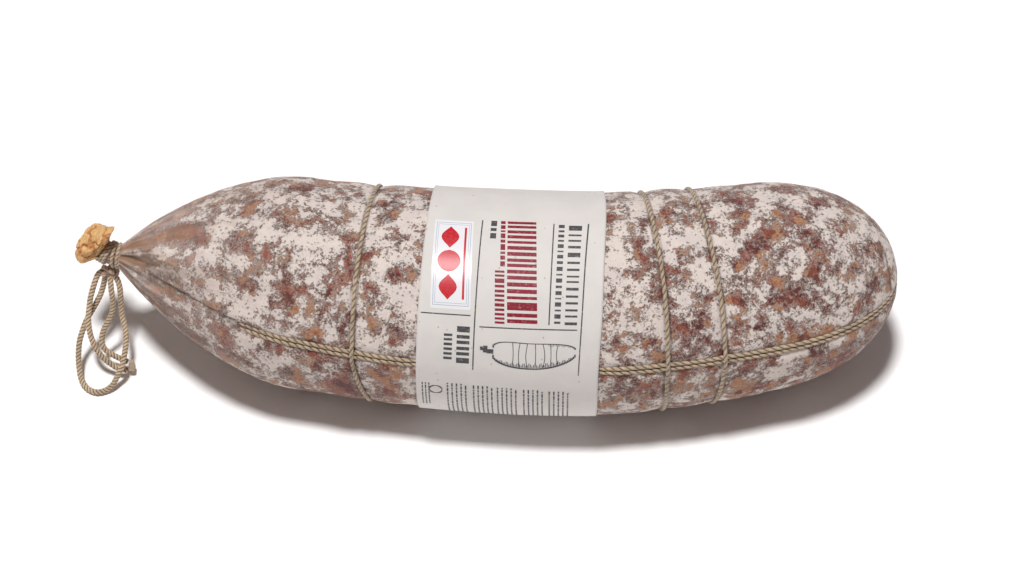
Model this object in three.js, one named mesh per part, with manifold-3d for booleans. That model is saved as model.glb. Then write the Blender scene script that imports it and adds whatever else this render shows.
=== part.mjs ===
// A whole cured sausage lying on a table: a bowed body in a natural casing, pulled in to a tied neck
// at one end and round at the other, with twine round it, a paper band label and a hanging loop.
// Millimetres, +Z up. +X runs along the body to its round end, -Y is the side with the print.
// The origin is under the middle of the box of everything but the free cords, at table height.

import * as THREE from 'three';
import { mergeVertices } from 'three/addons/utils/BufferGeometryUtils.js';
import Module from 'manifold-3d';

// Body
const bodyLength = 376.7; // from the neck to the tip of the round end
const bellyRadius = 53.7; // the fullest section
const bellyStation = 205; // how far the fullest section is from the neck
const shoulderRadius = 50.7; // where the taper to the neck ends
const taperLength = 95;
const taperPower = 2; // how quickly the taper fills out
const domeLength = 64.7; // the round end
const domePower = 2.2; // 2 would make it half an ellipsoid, and more is blunter
const floorPress = 1.6; // how much the body's own weight flattens it where it lies
const neckBow = 28.7; // how far the neck is behind the body's nearest point
const tipBow = 27; // how far the round end's tip is behind it
const bowStation = 233; // where the body is nearest to -Y
const neckBowPower = 1.8;
const tipBowPower = 1.5;
const bendSpan = 8; // each section is square to the spine's run over this much either way
const neckLift = 2; // the neck stands this much over the middle line of the body
const taperCrest = 3.5; // and the taper this much more, a third of the way along it

// Neck and the dry tuft of casing beyond the tie
const neckRadius = 5.6;
const neckLength = 9.6;
const neckRootDepth = 5; // how far the neck's solid reaches into the body
const neckDirection = new THREE.Vector3(-0.97, 0.16, 0.18).normalize();
const neckStraightShare = 0.62; // of the neck's length, before it bends up towards the tuft
const tuftHeight = 15.5;
const tuftRadius = 10.6;
const tuftDirection = new THREE.Vector3(-0.827, 0.39, 0.42).normalize();
const tuftRootDepth = 2; // how far the neck's solid reaches into the tuft
// The tuft's outline as shares of its radius and height, from the neck out
const tuftOutline = [[0.48, 0], [0.86, 0.2], [1, 0.48], [0.86, 0.8], [0.4, 0.98]];

// Twine that the body holds
const twineRadius = 1.1;
const bindingRadius = 1.0;
const bindingTurns = 3;
const bindingStart = 2.2; // from the body to the middle of the first turn
const bindingPitch = 2.15;
const twineGap = 0.3; // between strands, and between twine and its groove
const longTwineSink = 0.5; // how far the lengthwise twine's middle is under the casing
const labelTwineSink = 1.2; // and where the label presses it in
const ringSink = 0.2; // the rings stand nearly half proud
const ringShares = [0.3225, 0.6865, 0.752]; // where the rings are, as shares of the body's length
const frontAngle = 13; // degrees above the horizontal, the lengthwise twine's run on the -Y side
const frontNeckRise = 18; // degrees more, at the neck
const neckRiseReach = 150; // and how far from the neck that has died away
const neckRisePower = 1.5;
const backAngle = 195; // the run on the far side
const twineStart = 3.4; // how far from the neck the lengthwise twine comes out of the binding
const crossingWidth = 6.5; // half the width over which a ring rides on the lengthwise twine
const crossingRamp = 7;

// Paper band label
const labelWidth = 83;
const labelCentreShare = 0.5097; // of the body's length
const paperThickness = 0.45; // two layers of card with the glue between
const labelGap = 0.3;
const labelRamp = 6; // the twine comes back up over this length beside the label

// Hanging cord
const cordRadius = 1.5;
const knotAlongNeck = 4; // where the knot hangs under the winding
const knotDirection = new THREE.Vector3(-0.205, -0.154, -0.967).normalize();
const knotRadii = new THREE.Vector3(4.6, 3.1, 3.1);
const cordEndRadii = new THREE.Vector3(1.4, 3.4, 3.9);
const cordEndCentre = new THREE.Vector3(4.1, -0.9, 6.2);
const loopRoute = [
  [-1.3, 24.6, 40.6], [-0.3, 22.3, 37.4], [-0.8, 20.2, 33.4], [-0.9, 17.8, 29], [-0.6, 14.9, 25],
  [0.5, 11.3, 21.4], [1.3, 7.2, 18.4], [1.1, 2.3, 15.8], [0.4, -2.4, 13.6], [-0.8, -6.6, 10.4],
  [-3, -9.2, 7], [-5.1, -11.6, 4], [-8.2, -13.5, 2.2], [-12.8, -14.7, 1.8], [-17.4, -12.6, 1.8],
  [-20.8, -8.1, 3.4], [-22, -3.6, 6.5], [-22.4, 2, 11], [-21.8, 6.7, 15.5], [-20.3, 10.5, 19],
  [-18.7, 13.7, 22], [-16.2, 16.6, 25.4], [-13.4, 19.6, 29.2], [-11, 22.4, 33.2], [-9.6, 24.7, 37],
  [-8.9, 26, 39.6],
];
const leftTailRoute = [
  [-12.1, 27.2, 42.6], [-13.1, 24.5, 40.9], [-14.4, 21.4, 38.4], [-15.6, 18.2, 35.2],
  [-16.3, 14.8, 31.8], [-16.8, 11.6, 28.2], [-16.6, 8.2, 24.2], [-15.6, 5, 20.2], [-13.4, 1.7, 15.8],
  [-10.2, -0.7, 11.8], [-6.2, -2.2, 8.2], [-2.4, -3.3, 6], [1.6, -3.5, 5],
];
const rightTailRoute = [
  [-5.8, 23.6, 40.1], [-5.5, 21.2, 37.2], [-5, 19, 33.6], [-4.9, 16.9, 30], [-5.6, 15, 26.8],
  [-7.4, 13, 23.4], [-9.6, 10.7, 20], [-10.8, 8.1, 16.6], [-10.6, 5.6, 13.4], [-8.5, 3.9, 10.8],
  [-5, 2.8, 8.8], [-1.6, 1.6, 7.6], [1.6, 0.3, 7],
];

// Fineness of the meshes
const sectionSides = 36;
const stationStep = 14;
const labelStep = 7;
const twineSides = 6;
const ringSteps = 46;
const cordSides = 8;
const cordStep = 3;
const neckSides = 12;
const neckSteps = 6;
const tuftSides = 14;
const tuftRows = 6;
const bindingTurnSteps = 12;
const lumpRows = 6;
const stationSlack = 0.02; // a station this near the tip is the tip

const labelStart = bodyLength * labelCentreShare - labelWidth / 2;
const labelEnd = labelStart + labelWidth;
const domeStation = bodyLength - domeLength;
const spineHeight = bellyRadius - floorPress;
const strandSpacing = 2 * twineRadius + twineGap;

const wasm = await Module();
wasm.setup();

const object = new THREE.Group();
const casing = { color: 0xb49c8f, roughness: 0.8, metalness: 0 };
const twine = { color: 0xb8a688, roughness: 0.9, metalness: 0 };
const paper = { color: 0xded9d4, roughness: 0.7, metalness: 0 };

function addPart(name, geometry, look) {
  const mesh = new THREE.Mesh(geometry, new THREE.MeshStandardMaterial(look));
  mesh.name = name;
  object.add(mesh);
  return mesh;
}

function solidFrom(geometry) {
  const bare = geometry.clone();
  bare.deleteAttribute('normal');
  bare.deleteAttribute('uv');
  const merged = mergeVertices(bare, 1e-4);
  const vertProperties = new Float32Array(merged.attributes.position.array);
  const triVerts = new Uint32Array(merged.index.array);
  return new wasm.Manifold(new wasm.Mesh({ numProp: 3, vertProperties, triVerts }));
}

function geometryFrom(solid) {
  const mesh = solid.getMesh();
  const geometry = new THREE.BufferGeometry();
  geometry.setAttribute('position', new THREE.BufferAttribute(mesh.vertProperties, 3));
  geometry.setIndex(new THREE.BufferAttribute(mesh.triVerts, 1));
  return geometry;
}

// The body's skin

function barrelRadius(x) {
  const toShoulder = (x - bellyStation) / (bellyStation - taperLength);
  return bellyRadius - (bellyRadius - shoulderRadius) * toShoulder ** 2;
}

// The round end's radius as a share of the barrel's, from how far into the end it is as a share of
// the end's length, and the other way round.
function domeShare(share) {
  return (1 - share ** domePower) ** (1 / domePower);
}

function skinRadius(x) {
  if (x < taperLength) {
    const fullness = 1 - (1 - Math.max(x, 0) / taperLength) ** taperPower;
    return neckRadius + (shoulderRadius - neckRadius) * fullness;
  }
  const intoDome = Math.max(x - domeStation, 0) / domeLength;
  return barrelRadius(x) * domeShare(Math.min(intoDome, 1));
}

function spinePoint(x) {
  const share = x < bowStation
    ? (bowStation - x) / bowStation
    : (x - bowStation) / (bodyLength - bowStation);
  const y = x < bowStation ? neckBow * share ** neckBowPower : tipBow * share ** tipBowPower;
  const towardsNeck = Math.max(1 - Math.max(x, 0) / taperLength, 0);
  const crest = taperCrest * 6.75 * (1 - towardsNeck) * towardsNeck ** 2; // 6.75 makes its top 1
  return new THREE.Vector3(x, y, spineHeight + neckLift * towardsNeck ** 2 + crest);
}

function frontNormal(x) {
  const ahead = spinePoint(Math.min(x + bendSpan, bodyLength));
  const behind = spinePoint(Math.max(x - bendSpan, 0));
  const yaw = Math.atan2(ahead.y - behind.y, ahead.x - behind.x);
  return new THREE.Vector3(Math.sin(yaw), -Math.cos(yaw), 0);
}

function spineDirection(x) {
  const normal = frontNormal(x);
  return new THREE.Vector3(-normal.y, normal.x, 0);
}

// A point at a station along the body. front and up are its offsets from the spine in the section,
// and floor is the height that it may not go below.
function sectionPoint(x, front, up, floor = 0) {
  const point = spinePoint(x).addScaledVector(frontNormal(x), front);
  point.z = Math.max(point.z + up, floor);
  return point;
}

function skinPoint(x, angle, lift, floor = 0) {
  const radius = skinRadius(x) + lift;
  return sectionPoint(x, radius * Math.cos(angle), radius * Math.sin(angle), floor);
}

// Turns a lathe made about Y, whose height is the station, into a shape along the bowed spine.
function bendAlongSpine(geometry, floorAt) {
  const places = geometry.attributes.position;
  for (let i = 0; i < places.count; i += 1) {
    const x = places.getY(i);
    const front = -places.getZ(i);
    const up = places.getX(i);
    const bent = sectionPoint(x, front, up, floorAt(x, Math.hypot(front, up)));
    places.setXYZ(i, bent.x, bent.y, bent.z);
  }
  return geometry;
}

function stationsBetween(start, end, step) {
  const count = Math.ceil((end - start) / step);
  return Array.from({ length: count + 1 }, (_, i) => start + ((end - start) * i) / count);
}

// The label, and the body and twine under it, share these stations, so that their facets keep the
// same gap.
function labelStations() {
  return stationsBetween(labelStart, labelEnd, labelStep);
}

function bodyStations() {
  const before = stationsBetween(0, labelStart - 2 * labelGap, stationStep);
  const under = [labelStart - labelGap, ...labelStations(), labelEnd + labelGap];
  const after = stationsBetween(labelEnd + 2 * labelGap, domeStation, stationStep);
  const domeSteps = 8;
  const dome = Array.from(
    { length: domeSteps },
    (_, i) => domeStation + domeLength * Math.sin(((i + 1) / domeSteps) * (Math.PI / 2)),
  );
  return [...before, ...under, ...after, ...dome];
}

// The label is between the body and the table, so the body's flat is higher by its thickness there.
function bodyFloor(x) {
  const past = 1.5 * labelGap; // midway between the two stations beside a label edge
  const underLabel = x > labelStart - past && x < labelEnd + past;
  return underLabel ? paperThickness + labelGap : 0;
}

function bodySolid() {
  const profile = [new THREE.Vector2(0, 0)];
  for (const x of bodyStations()) {
    profile.push(new THREE.Vector2(x < bodyLength - stationSlack ? skinRadius(x) : 0, x));
  }
  return solidFrom(bendAlongSpine(new THREE.LatheGeometry(profile, sectionSides), bodyFloor));
}

// Neck and tuft

const neckRoot = spinePoint(neckRootDepth);
const neckStart = spinePoint(0);
const neckEnd = neckStart.clone()
  .addScaledVector(neckDirection, neckLength * neckStraightShare)
  .addScaledVector(tuftDirection, neckLength * (1 - neckStraightShare));
const neckCurve = new THREE.CatmullRomCurve3([
  neckRoot,
  neckStart,
  neckStart.clone().addScaledVector(neckDirection, neckLength / 2),
  neckEnd,
  neckEnd.clone().addScaledVector(tuftDirection, tuftRootDepth),
]);

function circleShape(radius, sides) {
  const shape = new THREE.Shape();
  for (let i = 0; i < sides; i += 1) {
    const angle = (i / sides) * 2 * Math.PI;
    const place = [radius * Math.cos(angle), radius * Math.sin(angle)];
    if (i === 0) shape.moveTo(...place);
    else shape.lineTo(...place);
  }
  shape.closePath();
  return shape;
}

function tubeAlong(curve, radius, sides, steps) {
  const options = { extrudePath: curve, steps, bevelEnabled: false, curveSegments: 1 };
  return new THREE.ExtrudeGeometry(circleShape(radius, sides), options);
}

function tuftSolid() {
  const corners = tuftOutline.map(
    ([out, along]) => new THREE.Vector2(out * tuftRadius, along * tuftHeight),
  );
  const outline = new THREE.SplineCurve(corners).getPoints(tuftRows);
  const profile = [new THREE.Vector2(0, 0), ...outline, new THREE.Vector2(0, tuftHeight)];
  const tuft = new THREE.LatheGeometry(profile, tuftSides);
  const turn = new THREE.Quaternion().setFromUnitVectors(new THREE.Vector3(0, 1, 0), tuftDirection);
  tuft.applyQuaternion(turn);
  tuft.translate(neckEnd.x, neckEnd.y, neckEnd.z);
  return solidFrom(tuft);
}

// Twine held by the body

// The path of the lengthwise twine: along the front, straight over the round end as that end is seen
// from its tip, and back along the far side.
function longTwineFrames() {
  const front = radians(frontAngle);
  const back = radians(backAngle);
  const straightStep = 18;
  const curvedStep = 9;
  const runs = [
    ...stationsBetween(twineStart, taperLength, curvedStep),
    ...stationsBetween(taperLength, labelStart - labelRamp, straightStep).slice(1),
    ...labelStations(),
    ...stationsBetween(labelEnd + labelRamp, domeStation, straightStep),
  ];
  const frames = runs.map((x) => skinFrame(x, frontCrossing(x)));
  const edge = barrelRadius(domeStation);
  const domeSteps = 18;
  for (let i = 1; i < domeSteps; i += 1) {
    const turn = (i / domeSteps) * Math.PI;
    const share = (1 - Math.cos(turn)) / 2;
    const side = edge * ((1 - share) * Math.cos(front) + share * Math.cos(back));
    const up = edge * ((1 - share) * Math.sin(front) + share * Math.sin(back));
    frames.push(domeFrame(side, up));
  }
  for (const x of [...runs].reverse()) frames.push(skinFrame(x, back));
  return frames;
}

function radians(degrees) {
  return THREE.MathUtils.degToRad(degrees);
}

// The angle round the body at which the lengthwise twine crosses the front of a section.
function frontCrossing(x) {
  const nearNeck = Math.max(1 - x / neckRiseReach, 0) ** neckRisePower;
  return radians(frontAngle + frontNeckRise * nearNeck);
}

// How far the lengthwise twine's middle lies under the skin at a station.
function twineDepth(x) {
  const outside = Math.max(labelStart - x, x - labelEnd, 0);
  const release = THREE.MathUtils.smoothstep(outside, 0, labelRamp);
  return labelTwineSink + (longTwineSink - labelTwineSink) * release;
}

function skinFrame(x, angle) {
  const point = skinPoint(x, angle, 0);
  const step = 0.4;
  const along = skinPoint(Math.min(x + step, bodyLength), angle, 0).sub(point);
  const around = skinPoint(x, angle + step / bellyRadius, 0).sub(point);
  return { point, station: x, normal: along.cross(around).normalize() };
}

function domeFrame(side, up) {
  const edge = barrelRadius(domeStation);
  const reach = Math.min(Math.hypot(side, up) / edge, 1);
  const into = domeShare(reach);
  const x = domeStation + domeLength * into;
  const shrink = barrelRadius(x) / edge;
  const point = sectionPoint(x, side * shrink, up * shrink);
  const slope = reach ** (domePower - 2) / edge ** 2;
  const outward = frontNormal(x).multiplyScalar(side * slope);
  outward.z += up * slope;
  outward.addScaledVector(spineDirection(x), into ** (domePower - 1) / domeLength);
  return { point, station: x, normal: outward.normalize() };
}

// A curve with one step from each of its points to the next.
class PlacedCurve extends THREE.CatmullRomCurve3 {
  getPointAt(t, target) {
    return this.getPoint(t, target);
  }

  getTangentAt(t, target) {
    return this.getTangent(t, target);
  }
}

function longTwineCurve(sideStep) {
  const frames = longTwineFrames();
  const points = frames.map((frame, i) => {
    const next = frames[Math.min(i + 1, frames.length - 1)].point;
    const last = frames[Math.max(i - 1, 0)].point;
    const sideways = frame.normal.clone().cross(next.clone().sub(last)).normalize();
    return frame.point.clone()
      .addScaledVector(frame.normal, -twineDepth(frame.station))
      .addScaledVector(sideways, sideStep);
  });
  return new PlacedCurve(points);
}

// A ring is a torus bent onto the skin. It rides over the lengthwise twine where it crosses it.
function ringGeometry(share, radius) {
  const station = bodyLength * share;
  const nominal = 20; // the bend below sets the real radius
  const torus = new THREE.TorusGeometry(nominal, radius, twineSides, ringSteps);
  const places = torus.attributes.position;
  const crossings = [frontCrossing(station), radians(backAngle)];
  const overPair = 2 * twineRadius + twineGap - longTwineSink;
  for (let i = 0; i < places.count; i += 1) {
    const angle = Math.atan2(places.getY(i), places.getX(i));
    const outward = Math.hypot(places.getX(i), places.getY(i)) - nominal;
    const along = -places.getZ(i);
    const away = Math.min(...crossings.map((at) => arcBetween(angle, at))) * skinRadius(station);
    const ride = 1 - THREE.MathUtils.smoothstep(away, crossingWidth, crossingWidth + crossingRamp);
    const lift = -ringSink + (overPair + ringSink) * ride;
    const centre = skinPoint(station, angle, lift, twineRadius);
    const across = frontNormal(station).multiplyScalar(Math.cos(angle));
    across.z = Math.sin(angle);
    centre.addScaledVector(across, outward).addScaledVector(spineDirection(station), along);
    places.setXYZ(i, centre.x, centre.y, centre.z);
  }
  return torus;
}

function arcBetween(a, b) {
  return Math.abs(THREE.MathUtils.euclideanModulo(a - b + Math.PI, 2 * Math.PI) - Math.PI);
}

// Twine wound round the neck, a helix about the neck's own curve.
class WoundTwine extends THREE.Curve {
  getPoint(t, target = new THREE.Vector3()) {
    const turns = t * bindingTurns;
    const insideBody = neckRoot.distanceTo(neckStart);
    const along = (insideBody + bindingStart + turns * bindingPitch) / neckCurve.getLength();
    const centre = neckCurve.getPointAt(along);
    const tangent = neckCurve.getTangentAt(along);
    const side = new THREE.Vector3(0, 0, 1).cross(tangent).normalize();
    const up = tangent.clone().cross(side);
    const reach = neckRadius + twineGap + bindingRadius;
    const angle = turns * 2 * Math.PI;
    return target.copy(centre)
      .addScaledVector(side, reach * Math.cos(angle))
      .addScaledVector(up, reach * Math.sin(angle));
  }
}

// Paper band label

function labelGeometry() {
  const stations = labelStations();
  const inner = stations.map((x) => new THREE.Vector2(skinRadius(x) + labelGap, x));
  const outer = stations.map(
    (x) => new THREE.Vector2(skinRadius(x) + labelGap + paperThickness, x),
  );
  const profile = [...outer.reverse(), ...inner, outer[0]].reverse();
  const band = new THREE.LatheGeometry(profile, sectionSides);
  const middle = labelGap + paperThickness / 2;
  return bendAlongSpine(band, (x, radius) => (radius < skinRadius(x) + middle ? paperThickness : 0));
}

// Hanging cord

function lump(centre, radii) {
  const ball = new THREE.SphereGeometry(1, lumpRows * 2, lumpRows);
  ball.rotateX(Math.PI / 2);
  ball.scale(radii.x, radii.y, radii.z);
  ball.translate(centre.x, centre.y, centre.z);
  return ball;
}

function cordTube(route) {
  const curve = new THREE.CatmullRomCurve3(route.map((place) => new THREE.Vector3(...place)));
  return tubeAlong(curve, cordRadius, cordSides, Math.ceil(curve.getLength() / cordStep));
}

function strandTube(curve, radius) {
  return tubeAlong(curve, radius, twineSides, curve.points.length - 1);
}

const longUpper = longTwineCurve(strandSpacing / 2);
const longLower = longTwineCurve(-strandSpacing / 2);
// The groove's flat sides clear the twine, and it is one channel for both lengthwise strands.
const grooveReach = (twineRadius + twineGap) / Math.cos(Math.PI / twineSides);

const neck = solidFrom(tubeAlong(neckCurve, neckRadius, neckSides, neckSteps));
let sausage = bodySolid().add(neck).add(tuftSolid());
for (const curve of [longUpper, longTwineCurve(0), longLower]) {
  sausage = sausage.subtract(solidFrom(strandTube(curve, grooveReach)));
}
for (const share of ringShares) {
  sausage = sausage.subtract(solidFrom(ringGeometry(share, grooveReach)));
}

addPart('salami', geometryFrom(sausage), casing);
addPart('paper_label', labelGeometry(), paper);
ringShares.forEach((share, i) => {
  addPart(`ring_twine_${i + 1}`, ringGeometry(share, twineRadius), twine);
});
addPart('long_twine_upper', strandTube(longUpper, twineRadius), twine);
addPart('long_twine_lower', strandTube(longLower, twineRadius), twine);
const bindingSteps = bindingTurns * bindingTurnSteps;
const knotReach = neckRadius + 2 * (twineGap + bindingRadius) + knotRadii.z;
const knotCentre = neckStart.clone()
  .addScaledVector(neckDirection, knotAlongNeck)
  .addScaledVector(knotDirection, knotReach);
const binding = tubeAlong(new WoundTwine(), bindingRadius, twineSides, bindingSteps);
addPart('neck_binding', binding, twine);
addPart('hanging_knot', lump(knotCentre, knotRadii), twine);
addPart('hanging_loop', cordTube(loopRoute), twine);
addPart('cord_tail_left', cordTube(leftTailRoute), twine);
addPart('cord_tail_right', cordTube(rightTailRoute), twine);
addPart('cord_end', lump(cordEndCentre, cordEndRadii), twine);

// The free cords and what is on them don't move the origin.
const freeNodes = ['hanging_loop', 'cord_tail_left', 'cord_tail_right', 'cord_end'];
const bounds = new THREE.Box3();
for (const mesh of object.children) {
  if (!freeNodes.includes(mesh.name)) bounds.expandByObject(mesh, true);
}
const middle = bounds.getCenter(new THREE.Vector3());
object.position.set(-middle.x, -middle.y, -bounds.min.z);

export default object;
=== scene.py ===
"""A whole cured sausage in a natural casing, tied with twine, with a paper band and a hanging loop.

Everything is in metres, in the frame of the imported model. +X runs along the body to its round end,
-Y is the side with the print and +Z is up. Stations are distances along the body from its neck.
"""

import math  # noqa: E402

import bpy  # noqa: E402
import numpy as np  # noqa: E402
from bpy.props import FloatProperty, FloatVectorProperty, PointerProperty  # noqa: E402
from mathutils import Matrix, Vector  # noqa: E402


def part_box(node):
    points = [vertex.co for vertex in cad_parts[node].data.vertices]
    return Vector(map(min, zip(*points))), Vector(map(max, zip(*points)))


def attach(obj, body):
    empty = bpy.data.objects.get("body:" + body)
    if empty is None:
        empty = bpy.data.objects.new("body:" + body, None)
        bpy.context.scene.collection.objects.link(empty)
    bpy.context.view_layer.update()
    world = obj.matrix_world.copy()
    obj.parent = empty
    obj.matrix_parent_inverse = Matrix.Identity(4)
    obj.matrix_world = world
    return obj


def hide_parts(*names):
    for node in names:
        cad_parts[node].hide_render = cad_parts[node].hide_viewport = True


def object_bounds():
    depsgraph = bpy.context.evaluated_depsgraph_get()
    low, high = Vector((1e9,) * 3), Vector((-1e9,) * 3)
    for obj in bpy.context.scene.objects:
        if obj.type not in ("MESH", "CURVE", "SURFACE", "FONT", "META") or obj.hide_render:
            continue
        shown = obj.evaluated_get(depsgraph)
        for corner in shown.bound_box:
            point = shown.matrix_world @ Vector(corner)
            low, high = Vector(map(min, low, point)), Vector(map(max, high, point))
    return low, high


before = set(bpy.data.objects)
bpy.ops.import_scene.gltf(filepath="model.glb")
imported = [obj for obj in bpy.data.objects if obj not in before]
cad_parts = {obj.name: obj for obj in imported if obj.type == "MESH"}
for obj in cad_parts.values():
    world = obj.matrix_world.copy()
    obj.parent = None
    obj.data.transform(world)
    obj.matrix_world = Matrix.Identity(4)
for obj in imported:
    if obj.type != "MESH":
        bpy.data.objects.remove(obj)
cad_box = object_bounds()

bl_info = {
    "name": "Cured sausage",
    "version": (1, 0, 0),
    "blender": (4, 5, 0),
    "location": "3D View > Sidebar > Sausage",
    "description": "Builds a tied, mould-ripened sausage with a paper band and a hanging loop",
    "category": "Object",
}

MM = 0.001

# The hanging cord's routes, from the knot on, in the neck's own millimetres
LOOP_ROUTE = [
    (-4.2, 26.4, 43.2), (-2.4, 24.8, 40.4), (-1.4, 22.5, 37.2), (-1.2, 20.3, 33.4),
    (-1, 17.8, 29), (-0.6, 14.9, 25), (0.5, 11.3, 21.4), (1.3, 7.2, 18.4), (1.1, 2.3, 15.8),
    (0.4, -2.4, 13.6), (-0.8, -6.6, 10.4), (-3, -9.2, 7), (-5.1, -11.6, 4), (-8.2, -13.5, 2.2),
    (-12.8, -14.7, 1.8), (-17.4, -12.6, 1.8), (-20.8, -8.1, 3.4), (-22, -3.6, 6.5),
    (-22.4, 2, 11), (-21.8, 6.7, 15.5), (-20.3, 10.5, 19), (-18.7, 13.7, 22),
    (-16.2, 16.6, 25.4), (-13.4, 19.6, 29.2), (-11, 22.4, 33.2), (-9.6, 24.7, 37),
    (-8.9, 26, 39.6), (-8, 27, 42.2),
]
LEFT_TAIL_ROUTE = [
    (-9.6, 28.2, 43.6), (-11.7, 27.2, 42.4), (-13.1, 24.5, 40.9), (-14.4, 21.4, 38.4),
    (-15.6, 18.2, 35.2), (-16.3, 14.8, 31.8), (-16.8, 11.6, 28.2), (-16.6, 8.2, 24.2),
    (-15.6, 5, 20.2), (-13.4, 1.7, 15.8), (-10.2, -0.7, 11.8), (-6.2, -2.2, 8.2),
    (-2.4, -3.3, 6), (1.6, -3.5, 5),
]
RIGHT_TAIL_ROUTE = [
    (-6.2, 26, 42.6), (-5.8, 23.8, 40.1), (-5.5, 21.2, 37.2), (-5, 19, 33.6), (-4.9, 16.9, 30),
    (-5.6, 15, 26.8), (-7.4, 13, 23.4), (-9.6, 10.7, 20), (-10.8, 8.1, 16.6),
    (-10.6, 5.6, 13.4), (-8.5, 3.9, 10.8), (-5, 2.8, 8.8), (-1.6, 1.6, 7.6), (1.6, 0.3, 7),
]
CORD_END_CENTRE = (4.1, -0.9, 6.2)
KEY_DIRECTION = (0.09, 0.1, -1.0)
KEY_STRENGTH = 3.0
FILL_STRENGTH = 0.16
KEY_WIDTH_DEGREES = 9
# A direction that the hanging cord never runs along, for turning its section
CORD_SIDE = (0.0, 0.69, -0.72)
# Where the lengthwise strands lie, as angles up from the front
FRONT_ANGLE, BACK_ANGLE = math.radians(13), math.radians(195)
# Each ring's place as a share of the body, and how many millimetres it steps aside under the pair
RING_STEPS = {0.3225: 4.6, 0.6865: 1.0, 0.752: -1.2}
STRAND_SIDES = 12
# The camera
ELEVATION, DISTANCE, LENS = math.radians(50), 1.9, 137.3
AIM_HEIGHT, AIM_SHIFT = 0.05, (0.01377, 0.00765, 0.0)


def linear(code):
    """An sRGB hex colour as linear red, green, blue and alpha 1."""
    parts = [int(code[i : i + 2], 16) / 255 for i in (0, 2, 4)]
    curve = (c / 12.92 if c <= 0.04045 else ((c + 0.055) / 1.055) ** 2.4 for c in parts)
    return (*curve, 1.0)


def length(name, default_mm, description):
    """A length property whose default is given in millimetres."""
    return FloatProperty(
        name=name, description=description, default=default_mm * MM, unit="LENGTH", precision=4
    )


def colour(name, code, description):
    """A colour property whose default is given as sRGB hex."""
    return FloatVectorProperty(
        name=name, description=description, default=linear(code), subtype="COLOR", size=4,
        min=0.0, max=1.0,
    )


class SausageSizes(bpy.types.PropertyGroup):
    """The body's, the twine's and the label's sizes."""

    body_length: length("Body length", 376.7, "From the neck to the tip of the round end")
    belly_radius: length("Belly radius", 53.7, "The fullest section")
    belly_station: length("Belly station", 205, "How far the fullest section is from the neck")
    shoulder_radius: length("Shoulder radius", 50.7, "Where the taper to the neck ends")
    taper_length: length("Taper length", 95, "How far the taper reaches from the neck")
    taper_power: FloatProperty(
        name="Taper power", description="How quickly the taper fills out", default=2.0
    )
    dome_length: length("Dome length", 64.7, "The round end")
    dome_power: FloatProperty(
        name="Dome power", description="2 is half an ellipsoid, and more is blunter", default=2.2
    )
    floor_press: length("Floor press", 1.6, "How much the body's weight flattens it")
    neck_bow: length("Neck bow", 28.7, "How far the neck is behind the nearest point")
    tip_bow: length("Tip bow", 27, "How far the tip is behind the nearest point")
    bow_station: length("Bow station", 233, "Where the body is nearest to -Y")
    bend_span: length("Bend span", 8, "Each section is square to the run over this either way")
    neck_lift: length("Neck lift", 2, "How much the neck stands over the middle line")
    taper_crest: length("Taper crest", 3.5, "The middle line's rise on the taper")
    neck_radius: length("Neck radius", 5.6, "The neck under the winding")
    neck_length: length("Neck length", 9.6, "From the body to the tuft")
    tuft_height: length("Tuft height", 15.5, "The dry casing beyond the tie")
    tuft_radius: length("Tuft radius", 10.6, "The dry casing beyond the tie")
    twine_radius: length("Twine radius", 1.1, "Rings and lengthwise strands")
    binding_radius: length("Winding radius", 1.0, "The twine round the neck")
    cord_radius: length("Cord radius", 1.5, "The hanging loop's cord")
    label_width: length("Label width", 83, "Along the body")
    label_centre: length("Label centre", 192, "From the neck")
    paper_thickness: length("Paper thickness", 0.45, "Card and the glue under it")
    label_gap: length("Label gap", 0.3, "Between the casing and the paper")


class SausageColours(bpy.types.PropertyGroup):
    """The finishes' colours."""

    meat: colour("Meat", "8C4C3C", "Lean meat under the casing")
    deep_meat: colour("Deep meat", "642F2B", "The darkest lean meat")
    fat: colour("Fat", "B27A54", "Fat under the casing")
    # Also the colour of the painted shade in the casing's creases
    speck: colour("Specks", "46302B", "Pepper, seeds and dark mould spots")
    # Painted shade for the pleats' valleys, laid on as dark streaks near the neck
    pleat_valley_shade: colour("Pleats", "6B5443", "The valleys between the neck's pleats")
    bare_casing: colour("Bare casing", "B98A5C", "Casing that the mould has left bare")
    bloom: colour("Bloom", "ECDFD6", "Thick white mould")
    thin_bloom: colour("Thin bloom", "CBAEA0", "Thin grey mould")
    tuft: colour("Tuft", "E2B57C", "Dry casing beyond the tie")
    # Painted shade in the folds of the dry casing
    tuft_fold_shade: colour("Tuft folds", "BE8650", "The folds of the dry casing")
    twine: colour("Twine", "C0AA90", "Twisted butcher's twine")
    # Painted shade in the twine's grooves between the plies
    twine_groove_shade: colour("Twine grooves", "6F604E", "Between the plies")
    cord: colour("Cord", "CBB498", "The hanging cord")
    # Painted shade in the cord's grooves between the plies
    cord_groove_shade: colour("Cord grooves", "64503F", "Between the cord's plies")
    paper: colour("Paper", "DDD8D4", "The band's uncoated paper")
    dark_ink: colour("Dark ink", "4A4A4E", "Rules and small print")
    red_ink: colour("Red ink", "8A1C30", "The title")
    bright_ink: colour("Bright ink", "C8202F", "The emblem")


def sizes():
    return bpy.context.scene.sausage_sizes


def colours():
    return bpy.context.scene.sausage_colours


# Shapes


def smooth(low, high, x):
    """0 below low, 1 above high, 3t^2 - 2t^3 between."""
    t = np.clip((x - low) / (high - low), 0, 1)
    return t * t * (3 - 2 * t)


def hill(x, width_mm):
    """A bell curve: 1 at 0, and e^-1 at that width."""
    return np.exp(-((x / (width_mm * MM)) ** 2))


def fade(x, reach_mm):
    """1 up to 0, and e^-1 at that reach."""
    return np.exp(-np.maximum(x, 0) / (reach_mm * MM))


def unit(v):
    return v / np.maximum(np.linalg.norm(v, axis=-1, keepdims=True), 1e-12)


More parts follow.
